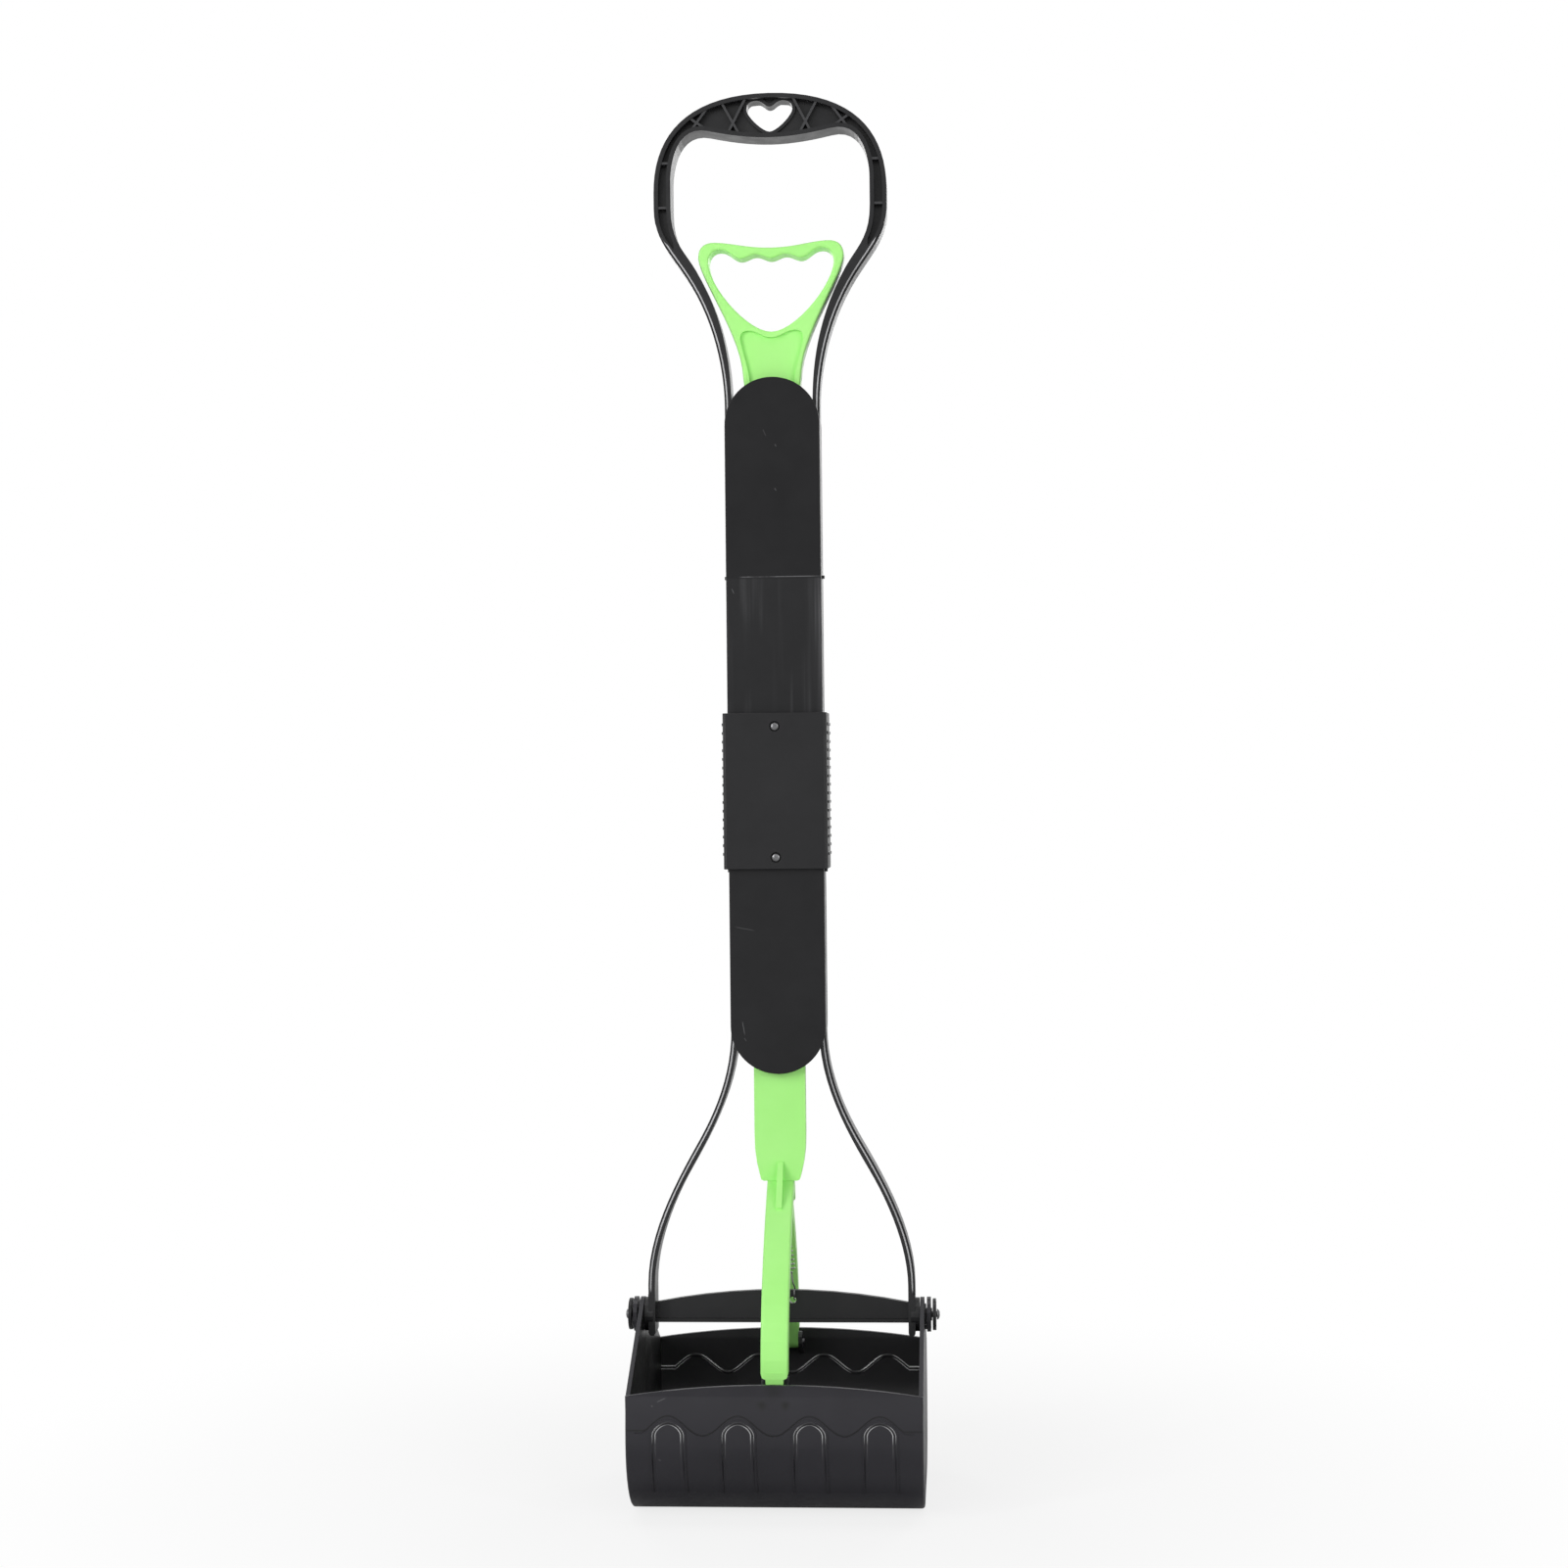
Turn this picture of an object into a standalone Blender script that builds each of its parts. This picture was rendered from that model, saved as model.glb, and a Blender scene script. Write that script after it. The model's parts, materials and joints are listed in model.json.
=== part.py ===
"""Foldable pooper scooper with two hinged jaws, a pull trigger and a sliding lock sleeve.

Metres, +Z up. The scooper stands on its closed jaws, its front faces -Y, and the origin is the
middle of the footprint on the ground. All pieces are drawn in place, with the jaws shut, the
trigger released and the handle straight and locked by the sleeve.
"""
import math

import bmesh
import bpy
from mathutils import Matrix, Vector

# Driving dimensions of the whole tool
TOTAL_HEIGHT = 0.7095
FOLD_Z = 0.3218            # where the handle folds, just above the lower edge of the sleeve
FOLD_Y = 0.008             # fold axis, on the rear face of the rails
PIVOT_Z = 0.0892           # axis on which both jaws turn
FIT = 0.0003               # gap between touching pieces
TRIGGER_TRAVEL = 0.035
SLEEVE_TRAVEL = 0.068

# Frame strips: the rails beside the covers, the handle legs and the lower arms
RAIL_OUT = 0.0241
RAIL_IN = 0.0206
FRAME_HALF_DEPTH = 0.008
ARM_OUT = 0.0678
ARM_IN = 0.0643
ARM_END_Z = 0.0793
LEG_START_Z = 0.551        # the rails run straight between these two heights
ARM_START_Z = 0.235

# D-shaped grip
GRIP_OUT = 0.0592
GRIP_IN = 0.0506
GRIP_LOW_Z = 0.652
GRIP_WALL = 0.0022
GRIP_WEB_HALF = 0.0030
RIB_WIDTH = 0.0012
HEART_COLLAR_HALF = 0.0045

# Step along the outer edges of the legs, rails and arms, in front and behind
STEP_WIDTH = 0.0010
STEP_DEPTH = 0.0014
STEP_CHAMFER = (0.0007, 0.00025)      # width and depth of the slanted edge above the step
STEP_TOP_Z = 0.648
STEP_FOOT_Z = 0.1005
STEP_FADE = 4              # points over which it widens from nothing
STEP_BEYOND = 0.0006       # how far its cutter reaches past the outer edge
FACE_BEYOND = 0.00005      # and past the front face

# Fold knuckles
KNUCKLE_RADIUS = 0.0028
HINGE_PIN_RADIUS = 0.00125
KNUCKLE_INNER_X = 0.0139
KNUCKLE_SPLIT_X = 0.01945
ROD_KNUCKLE_SPLIT_X = 0.00515
ROD_KNUCKLE_END_X = 0.012

# Covers
COVER_INNER_Y = 0.0083
COVER_OUTER_Y = 0.0108
UPPER_COVER_ROUND_Z = 0.5412
LOWER_COVER_ROUND_Z = 0.2366
REAR_COVER_GAP = 0.006     # the rear covers stop this far from the fold
REAR_RELIEF_SLOPE = 0.16   # and slope away from it, so that the halves fold flat together
SCREW_X = 0.017
COVER_SCREW_HEIGHTS = {"upper": 0.535, "lower": 0.243}

# Pull rod
ROD_HALF_WIDTH = 0.0130
ROD_HALF_DEPTH = 0.004
TRIGGER_HALF_DEPTH = 0.006
RECESS_HALF = 0.0042       # half of what is left between the two recesses in the stem
WISHBONE_HALF_WIDTH = 0.0068
REAR_ARM_HALF_WIDTH = 0.0048
WISHBONE_THICKNESS = 0.007
LINK_Y = 0.0603            # pin that joins each wishbone arm to its jaw
LINK_Z = 0.0627
LINK_PIN_RADIUS = 0.0015
ARM_SHOULDER_Z = 0.0696
GREEN_ROUNDING = 0.0012    # edges of the trigger and of the wishbone
ROUNDING_STEPS = 3

# Lock sleeve
SLEEVE_BOTTOM_Z = 0.3163
SLEEVE_TOP_Z = 0.3952
SLEEVE_OUT_X = 0.0264
SLEEVE_IN_X = 0.0249
SLEEVE_OUT_Y = 0.0147
SLEEVE_IN_Y = 0.0113
SLEEVE_SCREW_HEIGHTS = {"upper": 0.3883, "lower": 0.3221}
SLEEVE_RIBS = 16

# Jaws
JAW_HALF_WIDTH = 0.0723
JAW_WALL = 0.0021
JAW_RIM_Y = 0.0702
JAW_RIM_Z = 0.0625
JAW_RIM_RISE = 0.0058
JAW_CORNER = 0.0015        # rounding along the edges of the end walls
PANEL_CENTRES = (-0.0514, -0.01735, 0.01735, 0.0514)
PANEL_HALF_WIDTH = 0.0076
PANEL_TOP_Z = 0.0508
PANEL_FOOT_Z = 0.014
ARCH_LINE_WIDTH = 0.0014
ARCH_LINE_RISE = (0.00025, 0.0005)    # of its flanks and of its back
ARCH_FLANK = 0.0004
GROOVE_WIDTH = 0.0008
GROOVE_DEPTH = 0.0004
WAVE_RIDGE_WIDTH = 0.0013  # the same wave on the inside
WAVE_RIDGE_RISE = 0.0004
JAW_SEAM = 0.0003
EAR_RADIUS = 0.0088
EAR_BORE = 0.0036

# Jaw pivots, outwards from the arm
FLANGE_RADIUS = 0.0085
FLANGE_END_X = 0.0699
STUB_RADIUS = 0.0032
STUB_END_X = 0.0762
REAR_EAR_X = (0.0736, 0.0756)
WASHER_X = (0.0765, 0.0783)
PIVOT_HEAD_X = (0.0786, 0.0801)

# Return spring
SPRING_WIRE = 0.0007
SPRING_RADIUS = 0.00215    # to the middle of the wire
SPRING_TURNS = 13
SPRING_STEPS = 9           # points in each turn
SPRING_HOLE_X = 0.0055     # off the middle of the crossbar
SPRING_HOLE_RADIUS = 0.00175
SPRING_TOP_Z = 0.1465
SPRING_FOOT_Z = 0.0965
CROSSBAR_HALF_DEPTH = 0.0015

BLACK_PLASTIC = (0.026, 0.026, 0.028, 1.0)
GREEN_PLASTIC = (0.39, 0.95, 0.22, 1.0)
STEEL = (0.55, 0.55, 0.56, 1.0)


# Curves and outlines

def bezier(start, handle_a, handle_b, end, steps):
    """Points of a cubic curve, without its start."""
    points = []
    for step in range(1, steps + 1):
        t = step / steps
        s = 1.0 - t
        points.append(tuple(
            s ** 3 * a + 3 * s * s * t * b + 3 * s * t * t * c + t ** 3 * d
            for a, b, c, d in zip(start, handle_a, handle_b, end)))
    return points


def arc(centre, radius, first_degrees, last_degrees, steps):
    """Points of an arc, with both ends."""
    points = []
    for step in range(steps + 1):
        angle = math.radians(first_degrees + (last_degrees - first_degrees) * step / steps)
        points.append((centre[0] + radius * math.cos(angle), centre[1] + radius * math.sin(angle)))
    return points


def offset_curve(points, distance):
    """The same open curve, moved sideways to the left of its direction."""
    moved = []
    for index, point in enumerate(points):
        before = points[max(index - 1, 0)]
        after = points[min(index + 1, len(points) - 1)]
        along = Vector((after[0] - before[0], after[1] - before[1])).normalized()
        moved.append((point[0] - along.y * distance, point[1] + along.x * distance))
    return moved


def mirrored(points):
    """The points of the other half, in reverse order."""
    return [(-a, b) for a, b in reversed(points)]


def inset(outline, distance):
    """A closed outline moved inwards by a distance, or outwards by a negative one."""
    area = 0.0
    for (a, b), (c, d) in zip(outline, outline[1:] + outline[:1]):
        area += a * d - b * c
    turn = 1.0 if area > 0.0 else -1.0
    moved = []
    for index, point in enumerate(outline):
        before = outline[index - 1]
        after = outline[(index + 1) % len(outline)]
        into = Vector((point[0] - before[0], point[1] - before[1])).normalized()
        onward = Vector((after[0] - point[0], after[1] - point[1])).normalized()
        first = Vector((-into.y, into.x))
        middle = (first + Vector((-onward.y, onward.x))).normalized()
        reach = turn * distance / max(middle.dot(first), 0.5)
        moved.append((point[0] + middle.x * reach, point[1] + middle.y * reach))
    return moved


# Solids

def link_mesh(name, bm):
    bmesh.ops.recalc_face_normals(bm, faces=bm.faces)
    mesh = bpy.data.meshes.new(name)
    bm.to_mesh(mesh)
    bm.free()
    obj = bpy.data.objects.new(name, mesh)
    bpy.context.scene.collection.objects.link(obj)
    return obj


def prism(name, outline, axis, low, high):
    """A straight solid: the outline lies across the axis, in the order y z, x z or x y."""
    bm = bmesh.new()
    places = {"x": lambda a, b: (low, a, b), "y": lambda a, b: (a, low, b),
              "z": lambda a, b: (a, b, low)}
    shift = {"x": Vector((high - low, 0, 0)), "y": Vector((0, high - low, 0)),
             "z": Vector((0, 0, high - low))}
    verts = [bm.verts.new(places[axis](a, b)) for a, b in outline]
    face = bm.faces.new(verts)
    grown = bmesh.ops.extrude_face_region(bm, geom=[face])
    top = [item for item in grown["geom"] if isinstance(item, bmesh.types.BMVert)]
    bmesh.ops.translate(bm, verts=top, vec=shift[axis])
    return link_mesh(name, bm)


def layered(name, layers, axis):
    """A solid through outlines with the same number of points, each at its place on X or Y."""
    bm = bmesh.new()
    places = {"x": lambda at, a, b: (at, a, b), "y": lambda at, a, b: (a, at, b)}
    rings = [[bm.verts.new(places[axis](at, a, b)) for a, b in outline] for at, outline in layers]
    count = len(rings[0])
    for low, high in zip(rings, rings[1:]):
        for index in range(count):
            after = (index + 1) % count
            bm.faces.new((low[index], low[after], high[after], high[index]))
    bm.faces.new(rings[0])
    bm.faces.new(rings[-1])
    return link_mesh(name, bm)


def rounded_prism(name, outline, axis, low, high, radius, mouth=False):
    """A prism with rounded edges at both ends.

    With mouth it is the tool for a hole instead, whose edges it rounds.
    """
    sign = -1.0 if mouth else 1.0
    layers = []
    for step in range(ROUNDING_STEPS + 1):
        angle = math.radians(90.0 * step / ROUNDING_STEPS)
        layers.append((radius * (1 - math.cos(angle)), sign * radius * (1 - math.sin(angle))))
    if mouth:
        layers.insert(0, (-0.001, -radius - 0.0002))
    start = [(low + at, inset(outline, by)) for at, by in layers]
    end = [(high - at, inset(outline, by)) for at, by in reversed(layers)]
    return layered(name, start + end, axis)


def box(name, x, y, z):
    return prism(name, [(x[0], y[0]), (x[1], y[0]), (x[1], y[1]), (x[0], y[1])], "z", z[0], z[1])


def cylinder(name, axis, centre, radius, low, high, sides=24):
    """A round bar along an axis; the centre is given as for an outline of that axis."""
    outline = arc(centre, radius, 0.0, 360.0 - 360.0 / sides, sides - 1)
    return prism(name, outline, axis, low, high)


def combine(target, other, operation):
    """Apply a Boolean to the target and throw the other solid away."""
    modifier = target.modifiers.new(operation, "BOOLEAN")
    modifier.operation = operation
    modifier.solver = "EXACT"
    modifier.object = other
    bpy.context.view_layer.update()
    depsgraph = bpy.context.evaluated_depsgraph_get()
    mesh = bpy.data.meshes.new_from_object(target.evaluated_get(depsgraph))
    target.modifiers.clear()
    old = target.data
    target.data = mesh
    bpy.data.meshes.remove(old)
    bpy.data.objects.remove(other)
    return target


def join(target, *others):
    for other in others:
        combine(target, other, "UNION")
    return target


def cut(target, *others):
    for other in others:
        combine(target, other, "DIFFERENCE")
    return target


def tidy(obj, name, material, origin=(0.0, 0.0, 0.0), smooth_degrees=30.0):
    """Name a finished piece, clean and shade its mesh, and put its origin on its joint."""
    bm = bmesh.new()
    bm.from_mesh(obj.data)
    bmesh.ops.remove_doubles(bm, verts=bm.verts, dist=0.000002)
    bmesh.ops.dissolve_degenerate(bm, edges=bm.edges, dist=0.000002)
    bm.to_mesh(obj.data)
    bm.free()
    obj.data.transform(Matrix.Translation(-Vector(origin)))
    obj.location = origin
    obj.name = name
    obj.data.name = name
    obj.data.materials.clear()
    obj.data.materials.append(material)
    obj.data.shade_smooth()
    obj.data.set_sharp_from_angle(angle=math.radians(smooth_degrees))
    return obj


def make_material(name, colour, roughness, metallic):
    material = bpy.data.materials.new(name)
    material.use_nodes = True
    shader = material.node_tree.nodes["Principled BSDF"]
    shader.inputs["Base Color"].default_value = colour
    shader.inputs["Roughness"].default_value = roughness
    shader.inputs["Metallic"].default_value = metallic
    return material


# Upper frame: the D-shaped grip, its legs and the upper rails

def grip_outer_curve():
    """Right half of the outer edge, from the top middle down to the rail."""
    points = [(0.0, TOTAL_HEIGHT)]
    points += bezier(points[-1], (0.0424, TOTAL_HEIGHT), (GRIP_OUT, 0.689), (GRIP_OUT, 0.660), 18)
    points.append((GRIP_OUT, GRIP_LOW_Z))
    points += bezier(points[-1], (GRIP_OUT, 0.6355), (0.0502, 0.6294), (0.0405, 0.6128), 12)
    points += bezier(points[-1], (0.0267, 0.5891), (RAIL_OUT, 0.5638), (RAIL_OUT, LEG_START_Z), 14)
    return points


def grip_inner_curve():
    """Right half of the hand opening, from its top middle down to the rail."""
    points = [(0.0, 0.687)]
    points += bezier(points[-1], (0.009, 0.687), (0.019, 0.6882), (0.031, 0.6909), 7)
    points += bezier(points[-1], (0.048, 0.6949), (GRIP_IN, 0.6735), (GRIP_IN, 0.666), 13)
    points.append((GRIP_IN, GRIP_LOW_Z))
    points += bezier(points[-1], (GRIP_IN, 0.6353), (0.0439, 0.6305), (0.0381, 0.6206), 9)
    points += bezier(points[-1], (0.0230, 0.5945), (RAIL_IN, 0.5697), (RAIL_IN, LEG_START_Z), 14)
    return points


def heart_curve(grow=0.0):
    """Hang hole in the grip, as a closed outline; grow moves it outwards."""
    half = [(0.0, 0.7034)]
    half += bezier(half[-1], (0.0024, 0.7034), (0.0034, 0.7065), (0.0067, 0.7065), 6)
    half += bezier(half[-1], (0.0098, 0.7065), (0.0118, 0.7050), (0.0117, 0.7020), 6)
    half += bezier(half[-1], (0.0115, 0.6985), (0.0035, 0.6907), (0.0, 0.6907), 9)
    closed = half + mirrored(half[1:-1])
    return inset(closed, -grow)


def grip_pocket():
    """The moulded recess that runs round the grip inside its walls, as a closed outline."""
    tip_z = 0.6310
    outer = [p for p in offset_curve(grip_outer_curve(), -GRIP_WALL) if p[1] > tip_z + 0.003]
    inner = [p for p in offset_curve(grip_inner_curve(), GRIP_WALL) if p[1] > tip_z + 0.003]
    outer[0] = (0.0, outer[0][1])
    inner[0] = (0.0, inner[0][1])
    half = outer + [(0.0493, tip_z)] + inner[::-1]
    return half[:-1] + [(-a, b) for a, b in half[1:][::-1]]


def rib(start, end, half_depth):
    """A thin straight wall across the recess, between two points of the front view."""
    along = Vector((end[0] - start[0], end[1] - start[1])).normalized()
    side = Vector((-along.y, along.x)) * RIB_WIDTH / 2
    outline = [(start[0] + side.x, start[1] + side.y), (start[0] - side.x, start[1] - side.y),
               (end[0] - side.x, end[1] - side.y), (end[0] + side.x, end[1] + side.y)]
    return prism("rib", outline, "y", -half_depth, half_depth)


def cut_edge_steps(frame, curve):
    """Recess a narrow strip along the outer edge, which the curve follows downwards.

    The edge of the front face above the strip is slanted.
    """
    fading = len(curve) > STEP_FADE and curve[0][0] > RAIL_OUT

    def strip(width):
        inner = []
        for index, (point, edge) in enumerate(zip(offset_curve(curve, -width), curve)):
            share = min(1.0, index / STEP_FADE) if fading else 1.0
            inner.append(tuple(e + (p - e) * share for p, e in zip(point, edge)))
        return inner + offset_curve(curve, STEP_BEYOND)[::-1]

    wide, deep = STEP_CHAMFER
    layers = [(FRAME_HALF_DEPTH + FACE_BEYOND, STEP_WIDTH + wide * (1.0 + FACE_BEYOND / deep)),
              (FRAME_HALF_DEPTH - deep, STEP_WIDTH), (FRAME_HALF_DEPTH - STEP_DEPTH, STEP_WIDTH)]
    for side in (-1, 1):
        for sign in (-1, 1):
            outlines = [(sign * at, [(side * a, b) for a, b in strip(width)]) for at, width in layers]
            cut(frame, layered("step", outlines, "y"))


def build_handle_frame(black):
    outer = grip_outer_curve()
    inner = grip_inner_curve()
    end_z = FOLD_Z + 0.00025
    right_outer = outer + [(RAIL_OUT, end_z)]
    right_inner = inner + [(RAIL_IN, end_z)]
    outline = mirrored(right_outer)[:-1] + right_outer + right_inner[::-1] + mirrored(right_inner)[::-1][1:]
    frame = prism("handle_frame", outline, "y", -FRAME_HALF_DEPTH, FRAME_HALF_DEPTH)
    leg = [p for p in outer if p[1] < STEP_TOP_Z] + [(RAIL_OUT, end_z - 0.002)]
    cut_edge_steps(frame, leg)

    # Recesses in front and behind leave a web in the middle
    for low, high in ((-0.010, -GRIP_WEB_HALF), (GRIP_WEB_HALF, 0.010)):
        cut(frame, prism("pocket", grip_pocket(), "y", low, high))

    # Crossed ribs beside the hang hole and short ones in the side channels
    rib_depth = FRAME_HALF_DEPTH - 0.0005
    rib_lines = [((0.0118, 0.7077), (0.0210, 0.6899)), ((0.0241, 0.7052), (0.0153, 0.6891)),
                 ((0.0404, 0.6978), (0.0326, 0.6924)), ((0.0315, 0.7028), (0.0394, 0.6921)),
                 ((0.0508, 0.6752), (0.0561, 0.6752)), ((0.0514, 0.6526), (0.0584, 0.6526))]
    for start, end in rib_lines:
        join(frame, rib(start, end, rib_depth))
        join(frame, rib((-start[0], start[1]), (-end[0], end[1]), rib_depth))

    # Hang hole with its collar
    join(frame, prism("collar", heart_curve(0.0016), "y", -HEART_COLLAR_HALF, HEART_COLLAR_HALF))
    cut(frame, prism("heart", heart_curve(), "y", -0.010, 0.010))

    # Fold knuckles, stops for the sleeve
    for side in (-1, 1):
        inner_x, outer_x = sorted((side * KNUCKLE_INNER_X, side * RAIL_OUT))
        split = side * (KNUCKLE_SPLIT_X - FIT / 2)
        low_x, high_x = sorted((side * KNUCKLE_INNER_X, split))
        block_y = (FOLD_Y - KNUCKLE_RADIUS, FOLD_Y)
        join(frame, box("block", (inner_x, outer_x), block_y, (FOLD_Z + 0.0033, FOLD_Z + 0.012)))
        join(frame, box("web", (low_x, high_x), block_y, (FOLD_Z, FOLD_Z + 0.005)))
        join(frame, cylinder("knuckle", "x", (FOLD_Y, FOLD_Z), KNUCKLE_RADIUS, low_x, high_x, 20))
        room_low, room_high = sorted((side * (KNUCKLE_SPLIT_X + FIT / 2 - 0.0002), side * 0.030))
        cut(frame, cylinder("room", "x", (FOLD_Y, FOLD_Z), KNUCKLE_RADIUS + FIT, room_low, room_high, 20))
        cut(frame, cylinder("bore", "x", (FOLD_Y, FOLD_Z), HINGE_PIN_RADIUS + FIT, *sorted(
            (side * 0.012, side * 0.0205)), 16))
        nub_x = sorted((side * (RAIL_OUT - 0.0005), side * (RAIL_OUT + 0.0013)))
        nub_z = SLEEVE_TOP_Z + SLEEVE_TRAVEL + FIT
        join(frame, box("nub", nub_x, (-0.002, 0.002), (nub_z, nub_z + 0.0015)))
    return tidy(frame, "handle_frame", black, (0.0, FOLD_Y, FOLD_Z))


# Lower frame: rails, curved arms, crossbar and jaw pivots

def arm_outer_curve():
    """Outer edge of the right arm, from the rail down to the straight stretch at the pivot."""
    points = [(RAIL_OUT, ARM_START_Z)]
    points += bezier(points[-1], (RAIL_OUT, 0.2119), (0.0328, 0.1924), (0.0423, 0.1761), 12)
    points += bezier(points[-1], (0.0546, 0.1548), (ARM_OUT, 0.1297), (ARM_OUT, 0.105), 12)
    return points


def arm_inner_curve():
    """Inner edge of the right arm, over the same height."""
    points = [(RAIL_IN, ARM_START_Z)]
    points += bezier(points[-1], (RAIL_IN, 0.2079), (0.0336, 0.1838), (0.0451, 0.1640), 12)
    points += bezier(points[-1], (0.0562, 0.1450), (ARM_IN, 0.1230), (ARM_IN, 0.105), 12)
    return points


def build_lower_frame(black):
    end_z = FOLD_Z - 0.00025
    half_width = (ARM_OUT - ARM_IN) / 2
    middle_x = (ARM_OUT + ARM_IN) / 2
    parts = []
    for side in (-1, 1):
        outer = [(RAIL_OUT, end_z)] + arm_outer_curve()
        inner = [(RAIL_IN, end_z)] + arm_inner_curve()
        tip = arc((middle_x, ARM_END_Z + half_width), half_width, 0.0, -180.0, 6)
        outline = [(side * a, b) for a, b in outer + tip + inner[::-1]]
        parts.append(prism("side", outline, "y", -FRAME_HALF_DEPTH, FRAME_HALF_DEPTH))

    # Crossbar with an arched top edge
    steps = 10
    reach = ARM_IN + 0.001
    top = [(-reach + 2 * reach * i / steps, 0.1017 - 0.0065 * (1 - 2 * i / steps) ** 2)
           for i in range(steps + 1)]
    frame = prism("lower_frame", [(reach, 0.0854), (-reach, 0.0854)] + top, "y",
                  -CROSSBAR_HALF_DEPTH, CROSSBAR_HALF_DEPTH)
    join(frame, *parts)
    cut_edge_steps(frame, [(RAIL_OUT, end_z + 0.002)] + arm_outer_curve() + [(ARM_OUT, STEP_FOOT_Z)])

    # A stiffening lip along the foot of the crossbar, and the spring hole
    join(frame, box("lip", (-reach, reach), (-0.003, 0.003), (0.0854, 0.0872)))
    cut(frame, cylinder("spring_hole", "y", (SPRING_HOLE_X, SPRING_FOOT_Z), SPRING_HOLE_RADIUS,
                        -0.01, 0.01, 16))

    for side in (-1, 1):
        # Jaw pivot: a flange against the arm and a stub axle, bored for the pivot screw
        pivot = (0.0, PIVOT_Z)
        join(frame, cylinder("flange", "x", pivot, FLANGE_RADIUS,
                             *sorted((side * 0.0655, side * FLANGE_END_X)), 28))
        join(frame, cylinder("stub", "x", pivot, STUB_RADIUS,
                             *sorted((side * 0.068, side * STUB_END_X)), 20))
        cut(frame, cylinder("bore", "x", pivot, 0.0018, *sorted((side * 0.0645, side * 0.080)), 16))

        # Fold knuckles, joined to the end of the rail
        low_x, high_x = sorted((side * (KNUCKLE_SPLIT_X + FIT / 2), side * RAIL_OUT))
        join(frame, cylinder("knuckle", "x", (FOLD_Y, FOLD_Z), KNUCKLE_RADIUS, low_x, high_x, 20))
        join(frame, box("web", (low_x, high_x), (FOLD_Y - KNUCKLE_RADIUS, FOLD_Y),
                        (FOLD_Z - 0.005, FOLD_Z)))
        cut(frame, cylinder("bore", "x", (FOLD_Y, FOLD_Z), HINGE_PIN_RADIUS + FIT, *sorted(
            (side * 0.019, side * 0.0229)), 16))
        nub_x = sorted((side * (RAIL_OUT - 0.0005), side * (RAIL_OUT + 0.0013)))
        nub_z = SLEEVE_BOTTOM_Z - FIT
        join(frame, box("nub", nub_x, (-0.002, 0.002), (nub_z - 0.0015, nub_z)))
    return tidy(frame, "lower_frame", black)


def build_hinge_pin(side, steel):
    name = "fold_pin_left" if side < 0 else "fold_pin_right"
    ends = sorted((side * (KNUCKLE_INNER_X + 0.0002), side * 0.0226))
    pin = cylinder(name, "x", (FOLD_Y, FOLD_Z), HINGE_PIN_RADIUS, *ends, 16)
    return tidy(pin, name, steel, (0.0, FOLD_Y, FOLD_Z))


# Covers over the rails

def cover_outline(half):
    """Front view of a cover: square at the fold and round at its far end."""
    radius = RAIL_OUT
    if half == "upper":
        round_end = arc((0.0, UPPER_COVER_ROUND_Z), radius, 0.0, 180.0, 32)
        return [(radius, FOLD_Z + FIT)] + round_end + [(-radius, FOLD_Z + FIT)]
    round_end = arc((0.0, LOWER_COVER_ROUND_Z), radius, 0.0, -180.0, 32)
    return [(radius, FOLD_Z - FIT)] + round_end + [(-radius, FOLD_Z - FIT)]


def build_front_cover(half, black, origin):
    name = half + "_front_cover"
    cover = prism(name, cover_outline(half), "y", -COVER_OUTER_Y, -COVER_INNER_Y)
    screw_z = COVER_SCREW_HEIGHTS[half]
    for x in (-SCREW_X, SCREW_X):
        # Screw posts reach back to the rear cover between the rod and the rails
        join(cover, cylinder("post", "y", (x, screw_z), 0.0029, -0.0088, 0.0079, 16))
        cut(cover, cylinder("bore", "y", (x, screw_z), 0.00115, -0.004, 0.02, 12))
    guide_z = 0.44 if half == "upper" else 0.27
    for z in (guide_z, guide_z + 0.012):
        join(cover, box("guide", (-0.010, 0.010), (-COVER_INNER_Y - 0.0005, -ROD_HALF_DEPTH - FIT),
                        (z, z + 0.0016)))
    return tidy(cover, name, black, origin)


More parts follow.
